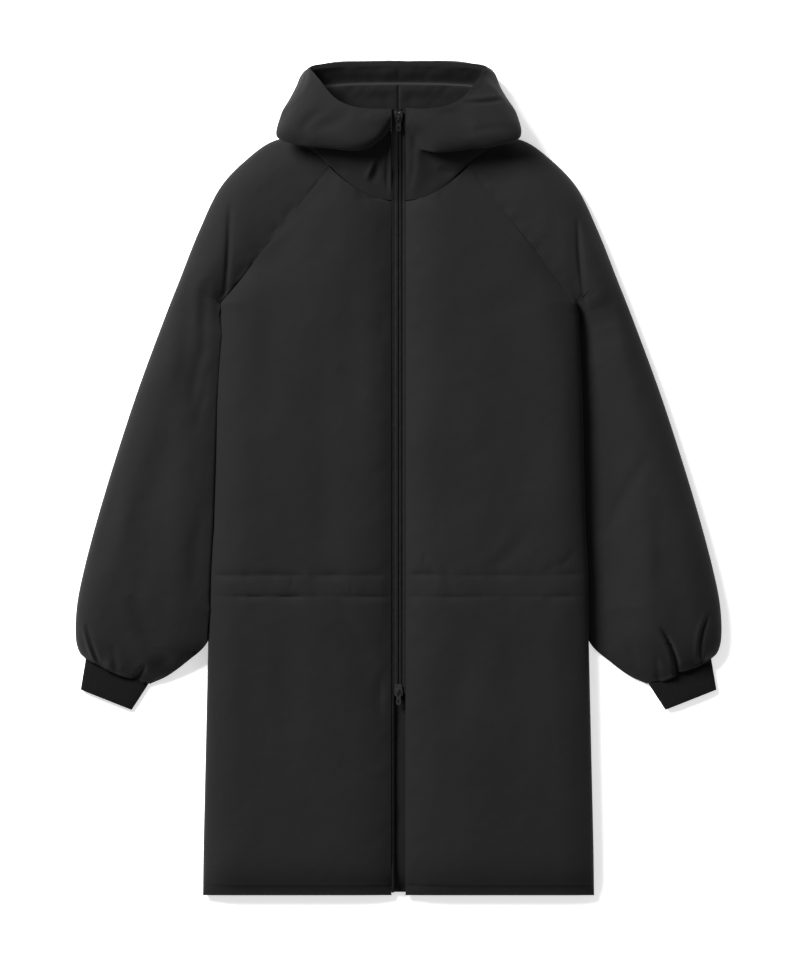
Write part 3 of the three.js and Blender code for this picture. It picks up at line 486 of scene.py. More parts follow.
# %% Relief of the waist channel
def casing_relief(side, x, y):
    """Grooves at the two stitch rows and uneven puckers running out of them."""
    relief = np.zeros_like(x)
    for number, row_y in enumerate(CASING_ROWS):
        wander = 0.9 * uneven(x, y * 0, 46, 31 + number + side)
        distance = y - row_y - wander
        pull = np.clip(0.85 + 1.1 * uneven(x, y * 0, 24, 41 + number + side), 0.25, 1.9)
        relief -= CASING_STRENGTH[number] * pull * GROOVE_CORE * bell(distance, GROOVE_CORE_WIDTH)
        relief -= pull * GROOVE_TROUGH * bell(distance, GROOVE_TROUGH_WIDTH)
        reach = 13 + 9 * uneven(x, y * 0, 23, 51 + number + side)
        lean = x + 0.25 * side * (y - row_y)
        relief += 0.8 * uneven(lean, y * 0.16, 11, 61 + number + side) * bell(distance, reach)
    return relief


def cloth_noise(side, x, y, seed):
    """Long soft waves and smaller dimples of light padding."""
    waves_down = 1.5 * uneven(x, y * 0.3, 58, seed + side)
    dimples = 0.55 * uneven(x, y * 0.6, 25, seed + 7 + side)
    fine = 0.16 * uneven(x, y, 9, seed + 14 + side)
    return waves_down + dimples + fine


print("waist relief at its rows: %.1f mm" % casing_relief(1, np.array([100.0]), np.array([-123.0]))[0])

# %% [markdown]
# The plan of a front is a set of rows from the hem to the neck seam. Below the underarm the rows are
# level. Above it they fan up along the raglan seam, which leaves the underarm for the neck.

# %% Plan of a front
def front_plan(row_count, column_count):
    """Plan points of a front with their distances to its edges."""
    below = int(row_count * 0.8)
    level = np.linspace(0, 1, below, endpoint=False)
    level = FRONT_HEM_Y + (UNDERARM[1] - FRONT_HEM_Y) * (level ** 1.12)
    share = np.linspace(0, 1, row_count - below)
    centre_y = np.concatenate([level, mix(UNDERARM[1], NECK_FRONT_Y, share)])[:, None]
    side_x = np.concatenate([side_edge(level), mix(UNDERARM[0], FRONT_RAGLAN_TOP[0], share)])[:, None]
    side_y = np.concatenate([level, mix(UNDERARM[1], FRONT_RAGLAN_TOP[1], share)])[:, None]
    even = np.linspace(0, 1, column_count)[None, :]
    across = 0.45 * even + 0.55 * (0.5 - 0.5 * np.cos(np.pi * even))
    x = mix(ZIP_OPENING_HALF, side_x, across)
    y = mix(centre_y, side_y, across ** NECK_CURVE_POWER)
    run_x, run_y = UNDERARM[0] - FRONT_RAGLAN_TOP[0], FRONT_RAGLAN_TOP[1] - UNDERARM[1]
    raglan = ((UNDERARM[0] - x) * run_y - (y - UNDERARM[1]) * run_x) / math.hypot(run_x, run_y)
    neck_share = np.clip((x - ZIP_OPENING_HALF) / (FRONT_RAGLAN_TOP[0] - ZIP_OPENING_HALF), 0, 1)
    neck_y = mix(NECK_FRONT_Y, FRONT_RAGLAN_TOP[1], neck_share ** NECK_CURVE_POWER)
    above = centre_y > UNDERARM[1]
    slant = mix(run_y / math.hypot(run_x, run_y), 1, smooth((UNDERARM[1] - y) / 120))
    return {
        "x": x, "y": y, "above": above,
        "side": np.where(above, np.maximum(0, raglan), (side_x - x) * slant),
        "centre": x - ZIP_OPENING_HALF,
        "neck": np.maximum(0, neck_y - y),
        "hem": y - FRONT_HEM_Y,
    }


def front_padding(side, plan):
    """Height of a front's top over the face that lies on the back."""
    x, y = plan["x"], plan["y"]
    raglan_share = np.clip((y - UNDERARM[1]) / (FRONT_RAGLAN_TOP[1] - UNDERARM[1]), 0, 1)
    side_padding = mix(SIDE_EDGE_PADDING, RAGLAN_EDGE_PADDING, smooth(raglan_share * 2))
    hem = mix(HEM_PADDING, FRONT_PADDING, roll(plan["hem"], HEM_ROLL))
    side_rise = mix(roll(plan["side"], SIDE_ROLL), ramp_up(plan["side"], SIDE_ROLL), smooth(raglan_share * 3))
    side_part = mix(side_padding / FRONT_PADDING, 1, side_rise)
    centre_rise = 1 - (1 - np.clip(plan["centre"] / CENTRE_ROLL[side], 0, 1)) ** 3
    centre_part = mix(CENTRE_EDGE_PADDING / FRONT_PADDING, 1, centre_rise)
    neck_part = mix(NECK_EDGE_PADDING / FRONT_PADDING, 1, roll(plan["neck"], NECK_ROLL))
    form = hem * side_part * centre_part * np.maximum(neck_part, centre_part)
    inside = np.minimum(1, np.minimum(plan["side"] / 20, np.minimum(plan["centre"] / 14, plan["hem"] / 20)))
    relief = casing_relief(side, x, y) - fold_depth(FRONT_FOLDS, side, x, y) + cloth_noise(side, x, y, 3)
    seam_pull = uneven(y * 0.8 + x * 0.6, x * 0, 11, 71 + side) * bell(plan["side"], 11) * plan["above"]
    zip_pull = uneven(y, x * 0, 16, 81 + side) * bell(plan["centre"] - 9, 10)
    neck_pull = uneven(x, y * 0, 10, 91 + side) * bell(plan["neck"] - 5, 9)
    relief += 1.1 * seam_pull + 1.0 * zip_pull + 1.0 * neck_pull
    return np.maximum(SIDE_EDGE_PADDING, form + relief * np.maximum(0.12, inside))


def front_panel(side, name):
    grids = []
    for row_count, column_count, is_top in ((440, 120, True), (70, 16, False)):
        plan = front_plan(row_count, column_count)
        distance = np.where(plan["above"], SIDE_ROLL, plan["side"])
        height = split_height(distance, plan["y"]) + SEAM_GAP
        if is_top:
            height = height + front_padding(side, plan)
        grids.append(np.stack([side * plan["x"], plan["y"], height], axis=-1))
    return cloth_wall(name, grids[0], grids[1], shell_cloth)


front_left = front_panel(LEFT, "front_left_cloth")
front_right = front_panel(RIGHT, "front_right_cloth")

# %% [markdown]
# ## The back
#
# The back carries the coat. Its underside is flat where it rests, and only its outer 40 mm lift off
# the surface. The inside of the back shows as the strip between the fronts below the lower slider,
# so that face is the finer one here. It wears a darker copy of the shell cloth, painted shade for
# that deep gap.

# %% Back panel
def back_panel(name):
    grids = []
    for row_count, column_count, is_top in ((260, 121, True), (90, 61, False)):
        below = int(row_count * 0.8)
        level = np.linspace(BACK_HEM_Y, UNDERARM[1], below, endpoint=False)
        share = np.linspace(0, 1, row_count - below)
        y = np.concatenate([level, mix(UNDERARM[1], BACK_RAGLAN_TOP[1], share)])[:, None]
        raglan_x = mix(UNDERARM[0], BACK_RAGLAN_TOP[0], share) - SEAM_GAP
        side_x = np.concatenate([side_edge(level), raglan_x])[:, None]
        even = np.linspace(-1, 1, column_count)[None, :]
        x = side_x * (0.55 * even + 0.45 * np.sin(even * np.pi / 2))
        y = y + 0 * x
        distance = np.where(y <= UNDERARM[1], side_x - np.abs(x), SIDE_ROLL)
        if is_top:
            inside = smooth((y - BACK_HEM_Y) / 40) * smooth((ZIP_OPENING_HALF + 6 - np.abs(x)) / 8)
            height = split_height(distance, y) - inside * (0.9 + 0.9 * uneven(x, y, 26, 5))
        else:
            height = back_underside(distance, y)
        grids.append(np.stack([x, y, height], axis=-1))
    piece = cloth_wall(name, grids[0], grids[1], shell_cloth)
    piece.data.materials.append(painted_shade_cloth)
    # The upward faces, the back's inside, take the darker copy: painted shade where the fronts leave a gap.
    for face in piece.data.polygons:
        face.material_index = int(face.normal.z > INSIDE_FACES_UP)
    return piece


back = back_panel("back_cloth")

# %% [markdown]
# ## The sleeves
#
# A raglan sleeve is a flattened padded tube. It starts along the raglan seam, runs down beside the
# body, whose side it tucks under, and is drawn into the cuff by a few deep creases. Between them the
# cloth puffs out and hangs a little over the rib. Each sleeve has its own folds. Beside the body the
# right sleeve comes up level with the front, and the left one dips into a dark trough. Their solids
# are alike there, so the cloth is up to 17 mm away from them.

# %% Smooth curves through a few points
def smooth_line(points, shares):
    """Centripetal curve through points along the first axis, read at shares from 0 to 1."""
    points = np.asarray(points, dtype=float)
    before = 2 * points[:1] - points[1:2]
    after = 2 * points[-1:] - points[-2:-1]
    padded = np.concatenate([before, points, after])
    place = np.asarray(shares) * (len(points) - 1)
    first = np.minimum(place.astype(int), len(points) - 2)
    shape = (-1,) + (1,) * (points.ndim - 1)
    weight = (place - first).reshape(shape)
    p0, p1, p2, p3 = (padded[first + step] for step in range(4))
    gap = lambda a, b: np.maximum(np.linalg.norm(a - b, axis=-1, keepdims=True) ** 0.5, 1e-4)
    d0, d1, d2 = gap(p0, p1), gap(p1, p2), gap(p2, p3)
    t1 = ((p1 - p0) / d0 - (p2 - p0) / (d0 + d1) + (p2 - p1) / d1) * d1
    t2 = ((p2 - p1) / d1 - (p3 - p1) / (d1 + d2) + (p3 - p2) / d2) * d1
    c2 = -3 * p1 + 3 * p2 - 2 * t1 - t2
    c3 = 2 * p1 - 2 * p2 + t1 + t2
    return p1 + t1 * weight + c2 * weight ** 2 + c3 * weight ** 3


print("a curve's middle:", smooth_line([[0, 0], [1, 1], [2, 0]], [0.5])[0])

# %% Sections and folds of the sleeves
SLEEVE_OUTER_ROLL, SLEEVE_UNDER_ROLL = 42.0, 22.0
SLEEVE_EDGE_WALL, SLEEVE_SLIT = 9.0, 0.8
SLEEVE_CREASE_HEIGHT = {LEFT: 6.0, RIGHT: 25.5}
SLOW_RISE = 1.6
PRESSED_SHARE = {LEFT: 0.0, RIGHT: 0.1}
PRESSED_REACH, LIP_CURVE = 3.0, {LEFT: 4, RIGHT: 8}
SHADOW_GUTTER = {LEFT: 7.0, RIGHT: 0.0}
BESIDE_FROM, BESIDE_GROWS = {LEFT: 5.0, RIGHT: 4.6}, {LEFT: 2.2, RIGHT: 1.0}
UNDERARM_LIFT = {LEFT: 0.0, RIGHT: 3.0}
LIP_SECTIONS = [6, 7, 8, 12]
LIP_COVERED = {LEFT: [1, 1, 1, 1], RIGHT: [0.5, 0.57, 0.74, 0.9]}
RAGLAN_SLIT_HEIGHT, NOSE_SHARE, PLAIN_EDGE = 16.8, 0.32, 10.0
SLEEVE_SECTIONS = [
    {"share": 0.00, "outer": (112, 440), "height": 33, "inner_height": 33, "lip": 0, "reach": 42},
    {"share": 0.15, "outer": (160, 434), "height": 34, "inner_height": 33, "lip": 0, "reach": 42},
    {"share": 0.32, "outer": (196, 409), "height": 36, "inner_height": 32.5, "lip": 0, "reach": 42},
    {"share": 0.52, "outer": (228, 375), "height": 37, "inner_height": 31, "lip": 0, "reach": 42},
    {"share": 0.76, "outer": (256, 318), "height": 38, "inner_height": 27.5, "lip": 0, "reach": 42},
    {"share": 1.00, "outer": (281, 255), "height": 38, "inner_height": 20.5, "lip": 0, "reach": 42},
    {"inner": (227, 209), "outer": (291, 230), "height": 38, "inner_height": 5, "lip": 4.5, "reach": 34},
    {"inner": (218, 184), "outer": (303, 199), "height": 38, "inner_height": 3.2, "lip": 14, "reach": 40},
    {"inner": (222, 100), "outer": (334, 115), "height": 38, "inner_height": 3.2, "lip": 14, "reach": 48},
    {"inner": (224, 20), "outer": (361, 33), "height": 39, "inner_height": 3.2, "lip": 14, "reach": 52},
    {"inner": (226, -60), "outer": (385.5, -48), "height": 40, "inner_height": 3.2, "lip": 14, "reach": 52},
    {"inner": (229, -122), "outer": (403, -114), "height": 40, "inner_height": 3.2, "lip": 14, "reach": 52},
    {"inner": (230.5, -168), "outer": (412, -158), "height": 40, "inner_height": 3.2, "lip": 14, "reach": 52},
    {"inner": (247, -212), "outer": (414.5, -193), "height": 37, "inner_height": 5, "lip": 0, "reach": 52},
    {"inner": (271, -234), "outer": (413, -212), "height": 33, "inner_height": 7, "lip": 0, "reach": 52},
    {"inner": (297, -253), "outer": (408.5, -224), "height": 26, "inner_height": 6, "lip": 0, "reach": 52},
    {"inner": (319, -263), "outer": (402.5, -230), "height": 17, "inner_height": 5, "lip": 0, "reach": 52},
]
SLEEVE_FOLDS = [
    {"side": -1, "from": (210, 372), "to": (240, 170), "width": 10, "depth": 1.0, "bend": -4},
    {"side": -1, "from": (216, 352), "to": (224, 222), "width": 3.2, "depth": 4.2, "bend": -2},
    {"side": -1, "from": (247, 256), "to": (249, 148), "width": 8, "depth": 3.4, "bend": 1},
    {"side": -1, "from": (250, 176), "to": (264, 84), "width": 8, "depth": 2.8, "bend": 2},
    {"side": -1, "from": (262, 270), "to": (268, 90), "width": 14, "depth": 3.4, "bend": 5},
    {"side": -1, "from": (246, 140), "to": (262, 60), "width": 7, "depth": 1.8, "bend": -3},
    {"side": -1, "from": (292, 60), "to": (330, -150), "width": 20, "depth": 3.0, "bend": 8},
    {"side": -1, "from": (356, 40), "to": (384, -120), "width": 13, "depth": 1.6, "bend": -5},
    {"side": -1, "from": (252, -30), "to": (262, -160), "width": 10, "depth": 2.0, "bend": 3},
    {"side": -1, "from": (401, -184), "to": (384, -236), "width": 2.8, "depth": 4.6, "bend": 1},
    {"side": -1, "from": (405, -184), "to": (388, -238), "width": 3.2, "depth": -2.6, "bend": 1},
    {"side": -1, "from": (346, -150), "to": (286, -250), "width": 10, "depth": 5.0, "bend": 3},
    {"side": -1, "from": (346, -196), "to": (308, -250), "width": 9, "depth": -2.2, "bend": 3},
    {"side": -1, "from": (323, -236), "to": (340, -262), "width": 3.2, "depth": 5.0, "open_end": True},
    {"side": -1, "from": (316, -240), "to": (328, -262), "width": 5, "depth": -1.4, "open_end": True},
    {"side": -1, "from": (366, -206), "to": (362, -250), "width": 5, "depth": 2.0, "open_end": True},
    {"side": 1, "from": (222, 352), "to": (246, 150), "width": 10, "depth": 3.0, "bend": -3},
    {"side": 1, "from": (229, 336), "to": (240, 218), "width": 3.4, "depth": 4.0, "bend": -2},
    {"side": 1, "from": (258, 150), "to": (312, -120), "width": 18, "depth": 3.0, "bend": 7},
    {"side": 1, "from": (266, -76), "to": (322, 34), "width": 9, "depth": 3.0, "bend": 4},
    {"side": 1, "from": (290, 160), "to": (352, -80), "width": 18, "depth": 2.0, "bend": -7},
    {"side": 1, "from": (270, 40), "to": (288, -110), "width": 9, "depth": 1.0, "bend": 3},
    {"side": 1, "from": (262, 260), "to": (276, 170), "width": 12, "depth": 2.0, "bend": 4},
    {"side": 1, "from": (330, -20), "to": (344, -140), "width": 12, "depth": 1.0, "bend": -4},
    {"side": 1, "from": (333, -186), "to": (357, -266), "width": 3.2, "depth": 9.0, "bend": 8,
     "open_end": True},
    {"side": 1, "from": (330, -196), "to": (350, -258), "width": 5, "depth": -2.0, "bend": 8},
    {"side": 1, "from": (398, -172), "to": (387, -238), "width": 2.8, "depth": 3.8, "bend": -5},
    {"side": 1, "from": (393, -172), "to": (382, -238), "width": 3.4, "depth": -2.2, "bend": -5},
    {"side": 1, "from": (393, -216), "to": (392, -240), "width": 3, "depth": -1.4},
    {"side": 1, "from": (294, -204), "to": (306, -246), "width": 7, "depth": 1.8},
    {"side": 1, "from": (330, -224), "to": (334, -256), "width": 4, "depth": 1.6, "open_end": True},
]
CUFF_OVERHANG = {
    LEFT: {"share": [0, 0.1, 0.3, 0.43, 0.48, 0.54, 0.7, 0.9, 1],
           "mm": [0.6, 3, 4.8, 4.2, 0.3, 2.4, 3.2, 2, 0.6]},
    RIGHT: {"share": [0, 0.1, 0.2, 0.3, 0.45, 0.6, 0.75, 0.9, 1],
            "mm": [0.6, 2, 0.3, 2.8, 4.4, 3.6, 1.8, 1.2, 0.6]},
}
OVERHANG_ROWS, INNER_CORNER = 9, 12
print("sleeve sections:", len(SLEEVE_SECTIONS), "folds:", len(SLEEVE_FOLDS))

# %% [markdown]
# The outer face of a sleeve runs from its front seam over the top, round the outer edge and back
# along the floor to its back seam. The inner face is the slit where the flattened tube closes. Past
# the last section a few rows roll over the top of the cuff, as far as each puff hangs there.

# %% Sleeve surfaces
def softened(values):
    """Values with their corners rounded by a running mean over a twentieth of their length."""
    reach = len(values) // 40
    padded = np.pad(values, reach, mode="edge")
    return np.convolve(padded, np.ones(2 * reach + 1) / (2 * reach + 1), mode="valid")


def section_rows(row_count):
    """The sleeve table read at many rows, spaced by the length of the sleeve."""
    count = len(SLEEVE_SECTIONS)
    outer = np.array([row["outer"] for row in SLEEVE_SECTIONS], dtype=float)
    step = np.maximum(np.linalg.norm(np.diff(outer, axis=0), axis=1), 26)
    numbers = np.arange(count)
    even = np.interp(np.linspace(0, step.sum(), row_count), np.concatenate([[0], np.cumsum(step)]), numbers)
    front, back_end = [], []
    offset = np.array([FRONT_RAGLAN_TOP[1] - UNDERARM[1], UNDERARM[0] - FRONT_RAGLAN_TOP[0]])
    offset = -SEAM_LAP * offset / np.linalg.norm(offset)
    for row in SLEEVE_SECTIONS:
        if "share" in row:
            front.append(mix(np.array(FRONT_RAGLAN_TOP), np.array(UNDERARM), row["share"]) + offset)
            back_end.append(mix(np.array(BACK_RAGLAN_TOP), np.array(UNDERARM), row["share"]))
        else:
            front.append(np.array(row["inner"], dtype=float))
            back_end.append(front[-1])
    read = lambda values: np.stack([np.interp(even, numbers, column) for column in np.array(values).T], -1)
    on_raglan = np.interp(even, numbers, ["share" in row for row in SLEEVE_SECTIONS])[:, None]
    front_line, back_line = read(front), read(back_end)
    below = even > INNER_CORNER
    below_share = (even[below] - INNER_CORNER) / (count - 1 - INNER_CORNER)
    front_line[below] = back_line[below] = smooth_line(np.array(front[INNER_CORNER:]), below_share)
    rows = {
        "front": front_line, "back": back_line, "outer": smooth_line(outer, even / (count - 1)),
        "on_raglan": on_raglan, "index": even[:, None],
    }
    for key in ("height", "inner_height", "lip", "reach"):
        rows[key] = softened(np.interp(even, numbers, [row[key] for row in SLEEVE_SECTIONS]))[:, None]
    return rows


def sleeve_heights(side, rows, share, width):
    """Heights of the top and the underside at a share of the way to the outer edge."""
    nose = rows["height"] * NOSE_SHARE
    from_outer, from_inner = (1 - share) * width, share * width
    lip = rows["lip"]
    edge_height = rows["inner_height"] + UNDERARM_LIFT[side] * bell(rows["index"] - 5, 0.8)
    beside_body = smooth((rows["index"] - BESIDE_FROM[side]) / BESIDE_GROWS[side])
    beside_body = beside_body * smooth((16 - rows["index"]) / 3.5)
    crease = mix(edge_height, SLEEVE_CREASE_HEIGHT[side], beside_body)
    reach = rows["reach"]
    gutter = SHADOW_GUTTER[side] * smooth((rows["index"] - 6.5) / 5) * smooth((14.5 - rows["index"]) / 2)
    pressed = PRESSED_SHARE[side] * smooth(rows["index"] - 5.2) * smooth((13 - rows["index"]) / 1.5)
    pressed = pressed * ramp_up(from_inner - lip, PRESSED_REACH)
    rise_share = ramp_up(from_inner - lip - gutter, reach)
    if side == LEFT:
        slow = np.clip((from_inner - lip - gutter) / (SLOW_RISE * reach), 0, 1)
        rise_share = mix(rise_share, slow ** 3 * (slow * (6 * slow - 15) + 10), beside_body)
    risen = mix(crease, rows["height"], pressed + (1 - pressed) * rise_share)
    across_lip = np.clip(from_inner / np.maximum(lip, 1e-3), 0, 1)
    in_lip = mix(rows["inner_height"], crease, across_lip ** LIP_CURVE[side])
    rise = np.where(from_inner < lip, in_lip, risen)
    outer_rise = roll(from_outer, np.minimum(SLEEVE_OUTER_ROLL, width * 0.55))
    fall = mix(nose, rows["height"], outer_rise) / rows["height"]
    under = nose * (1 - roll(from_outer, np.minimum(SLEEVE_UNDER_ROLL, width * 0.3)))
    return rise * fall, under


def sleeve_relief(side, rows, x, y, share, width):
    """Folds, gathers and soft noise of a sleeve's top, faded at its edges."""
    fade = smooth((1 - share) * width / 16) * smooth(share * width / 6 + 0.2 * rows["on_raglan"])
    noise = 1.3 * uneven(x, y * 0.35, 44, 101 + side) + 0.55 * uneven(x, y * 0.6, 19, 111 + side)
    noise += 0.16 * uneven(x, y, 8, 121 + side)
    near_cuff = smooth((rows["index"] - 12.6) / 2.4)
    gathers = uneven(share * 9, y * 0.02, 1, 131 + side) * 1.5 * near_cuff
    seam_pull = uneven(y * 0.8 - x * 0.6, x * 0, 11, 141 + side) * bell(share * width, 11) * rows["on_raglan"]
    small = mix(noise, 0.4 * noise, near_cuff) + gathers + 1.0 * seam_pull
    return (small - fold_depth(SLEEVE_FOLDS, side, x, y)) * fade


def sleeve_grids(side, row_count, top_columns, bottom_columns, relief_on):
    rows = section_rows(row_count)
    rows["lip"] = rows["lip"] * np.interp(rows["index"], LIP_SECTIONS, LIP_COVERED[side])
    outer_parts, inner_parts = [], []
    for end_name, layer in (("front", 1), ("back", -1)):
        end = rows[end_name][:, None, :]
        edge = rows["outer"][:, None, :]
        width = np.linalg.norm(edge - end, axis=-1)
        if layer > 0:
            even = np.linspace(0, 1, top_columns)[None, :]
            lip_columns = max(2, top_columns // 10) / (top_columns - 1)
            lip_share = np.where(rows["lip"] > 0.5, rows["lip"], PLAIN_EDGE) / width
            beyond = np.clip((even - lip_columns) / (1 - lip_columns), 0, 1)
            beyond = mix(lip_share, 1, mix(beyond, 0.5 - 0.5 * np.cos(beyond * np.pi), 0.6))
            share = np.where(even < lip_columns, lip_share * even / lip_columns, beyond)
        else:
            even = np.linspace(1, 0, bottom_columns + 1)[None, 1:]
            share = mix(even, np.sin(even * np.pi / 2), 0.8) + 0 * width
        plan = end + (edge - end) * share[..., None]
        top, under = sleeve_heights(side, rows, share, width)
        height = under
        if layer > 0:
            relief = sleeve_relief(side, rows, plan[..., 0], plan[..., 1], share, width) if relief_on else 0
            height = np.maximum(top + relief, under + 0.6)
        outer_parts.append(np.concatenate([plan, height[..., None]], axis=-1))
        slit_share = share * (1 - SLEEVE_EDGE_WALL / width)
        slit_plan = end + (edge - end) * slit_share[..., None]
        slit_top, slit_under = sleeve_heights(side, rows, slit_share, width)
        flat = rows["on_raglan"] * (1 - smooth((share - 0.5) / 0.42))
        slit = mix(0.45 * slit_top + 0.55 * slit_under, RAGLAN_SLIT_HEIGHT, flat)
        half_slit = SLEEVE_SLIT / 2 * (1 - share ** 6) * np.minimum(1, slit / 5)
        inner_parts.append(np.concatenate([slit_plan, (slit + layer * half_slit)[..., None]], axis=-1))
    outer_grid, inner_grid = np.concatenate(outer_parts, axis=1), np.concatenate(inner_parts, axis=1)
    outer_grid[..., 0] *= side
    inner_grid[..., 0] *= side
    return outer_grid, inner_grid


def hang_over_cuff(side, grid, top_columns):
    """Rows that roll each puff of the sleeve's end over the top of the cuff."""
    end = grid[-1]
    inner_corner, outer_corner = end[0, :2], end[top_columns - 1, :2]
    across = (outer_corner - inner_corner) / np.linalg.norm(outer_corner - inner_corner)
    down = np.array([across[1], -across[0]]) * side
    share = (end[:, :2] - inner_corner) @ across / np.linalg.norm(outer_corner - inner_corner)
    table = CUFF_OVERHANG[side]
    reach = np.interp(share, table["share"], table["mm"])
    is_top = (np.arange(len(end)) < top_columns) * smooth((end[:, 2] - 9.8) / 3)
    extra = []
    for row in range(1, OVERHANG_ROWS + 1):
        turn = row / OVERHANG_ROWS * 0.86 * np.pi
        out = reach * np.sin(turn) * is_top - 0.01 * row * (1 - is_top)
        low = np.maximum(end[:, 2] - 10.7, 0) * (1 - np.cos(turn)) / 2 * is_top
        extra.append(np.concatenate([end[:, :2] + down * out[:, None], (end[:, 2] - low)[:, None]], axis=1))
    return np.concatenate([grid, np.array(extra)])


def sleeve_panel(side, name):
    top_columns = 136
    outer_grid, _ = sleeve_grids(side, 360, top_columns, 26, True)
    places = np.concatenate([np.linspace(0, 1, len(outer_grid)), np.ones(OVERHANG_ROWS)])
    outer_grid = hang_over_cuff(side, outer_grid, top_columns)
    _, inner_grid = sleeve_grids(side, 95, 30, 10, False)
    return cloth_wall(name, outer_grid, inner_grid, shell_cloth, outer_rows=places)


sleeve_left = sleeve_panel(LEFT, "sleeve_left_cloth")
sleeve_right = sleeve_panel(RIGHT, "sleeve_right_cloth")

# %% [markdown]
# ## The cuffs
#
# Each cuff is a flattened tube of rib knit, two millimetres thick. Its ribs run down all round, and
# each is a raised wale with a narrow valley beside it. The free edge is folded, so it is a little
# rounder, and the whole tube waves slightly because the sleeve pulls it in.

# %% Cuff tubes
CUFF_THICKNESS, CUFF_WALL, CUFF_SIDE_WALL, CUFF_RIBS, CUFF_RIB_HEIGHT = 10.0, 2.2, 3.2, 36, 0.55
CUFF_SEWN_IN = 2.5
CUFF_TOP = {"inner": (320.5, -263.0), "outer": (402.0, -230.6)}
CUFF_END = {"inner": (342.5, -296.0), "outer": (408.0, -270.0)}


def cuff_ring(side, level, share, layer, outside):
    """Points of one ring of the cuff at shares across it. The layer is 1 on top and -1 below."""
    start = mix(np.array(CUFF_TOP["inner"]), np.array(CUFF_END["inner"]), level)
    end = mix(np.array(CUFF_TOP["outer"]), np.array(CUFF_END["outer"]), level)
    across = (end - start) / np.linalg.norm(end - start)
    down = np.array([across[1], -across[0]]) * (SEAM_GAP + 0.1 - CUFF_SEWN_IN * (1 - level))
    start, end = start + down, end + down
    width = np.linalg.norm(end - start)
    roundness = np.sqrt(np.clip(1 - np.abs(2 * share - 1) ** 4, 0, 1))
    half = CUFF_THICKNESS / 2
    hem = 1 - 0.16 * smooth((level - 0.86) / 0.14) - 0.10 * smooth((0.06 - level) / 0.06)
    if outside:
        rib = np.abs(np.sin(np.pi * CUFF_RIBS * share)) ** 0.6
        height = half + layer * (half * hem - (1 - rib) * CUFF_RIB_HEIGHT) * roundness
        height = height + layer * 0.18 * uneven(share * 40, share * 0 + level * 5, 3, 151 + side) * roundness
        plan = start + (end - start) * share[:, None]
    else:
        inset = CUFF_SIDE_WALL / width
        plan = start + (end - start) * mix(inset, 1 - inset, share)[:, None]
        height = half + layer * (half - CUFF_WALL) * hem * roundness
    return np.concatenate([plan * [side, 1], np.maximum(0, height)[:, None]], axis=1)


def cuff_tube(side, name):
    grids = []
    for levels, points, outside in ((26, CUFF_RIBS * 8, True), (10, 60, False)):
        top_share = np.linspace(0, 1, points + 1)
        low_share = np.linspace(1, 0, points + 1)[1:-1]
        rows = []
        for level in np.linspace(0, 1, levels):
            top = cuff_ring(side, level, top_share, 1, outside)
            low = cuff_ring(side, level, low_share, -1, outside)
            rows.append(np.concatenate([top, low]))
        grids.append(np.array(rows))
    return cloth_wall(name, grids[0], grids[1], cuff_knit, ring=True)


cuff_left = cuff_tube(LEFT, "cuff_left_knit")
cuff_right = cuff_tube(RIGHT, "cuff_right_knit")

# %% [markdown]
# ## The hood
#
# The hood has collapsed round the neck. Each half starts at the neck seam as an upright collar,
# folds outwards over it, and rises to the free rim. At the nape the crown lies folded inside, with a
# ridge across it. The halves meet at a centre seam behind and at the zip in front.

# %% Sections of half the hood
HOOD_WALL, HOOD_NOSE_DEPTH, HOOD_NOSE_OVERHANG = 4.0, 15.0, 7.0
HOOD_PAD_NECK, HOOD_PAD_RIDGE, HOOD_PAD_DIP, HOOD_LIP = 14.0, 38.0, 31.0, 6.0
HOOD_BY_THE_ZIP = {
    LEFT: [
        {"neck": (9, 357.4, 24), "fold": (9, 424, 50), "rim": (9, 471.5, 73), "over": 0, "pad": 0},
        {"neck": (22, 358.6, 28), "fold": (24, 423, 55), "rim": (22, 471.5, 75), "over": 0.1, "pad": 0},
        {"neck": (42, 365.4, 31), "fold": (46, 417, 61), "rim": (42, 472, 76), "over": 0.9, "pad": 0},
    ],
    RIGHT: [
        {"neck": (9, 357.4, 24), "fold": (10, 447, 58), "rim": (9, 471.5, 73), "over": 0.4, "pad": 0},
        {"neck": (22, 358.6, 26), "fold": (22, 433, 60), "rim": (22, 471.5, 75), "over": 0.85, "pad": 0},
        {"neck": (42, 365.4, 30), "fold": (44, 420, 62), "rim": (42, 472, 76), "over": 1, "pad": 0},
    ],
}
HOOD_SECTIONS = [
    {"neck": (66, 380.6, 32), "fold": (90, 421, 64), "rim": (63, 476, 75), "over": 1, "pad": 0},
    {"neck": (86, 400.6, 32), "fold": (126, 425, 63), "rim": (79, 484, 73), "over": 1, "pad": 0},
    {"neck": (97.5, 420, 31), "fold": (155, 436, 60), "rim": (90, 495, 70), "over": 1, "pad": 0},
    {"neck": (106, 440, 27), "fold": (150.5, 466, 50), "rim": (99, 507, 66), "over": 0.9, "pad": 0.1},
    {"neck": (96, 447, 17), "fold": (133, 497, 40), "rim": (107, 517, 60), "over": 0.9, "pad": 0.45},
    {"neck": (76, 448, 0), "fold": (120, 524, 25), "rim": (113, 526, 52), "over": 1, "pad": 1},
    {"neck": (50, 448, 0), "fold": (84, 534, 20), "rim": (79, 532, 47), "over": 1, "pad": 1},
    {"neck": (24, 448, 0), "fold": (40, 535.5, 20), "rim": (38, 533.5, 45), "over": 1, "pad": 1},
    {"neck": (-0.2, 448, 0), "fold": (-0.2, 536, 20), "rim": (-0.2, 534, 45), "over": 1, "pad": 1},
]
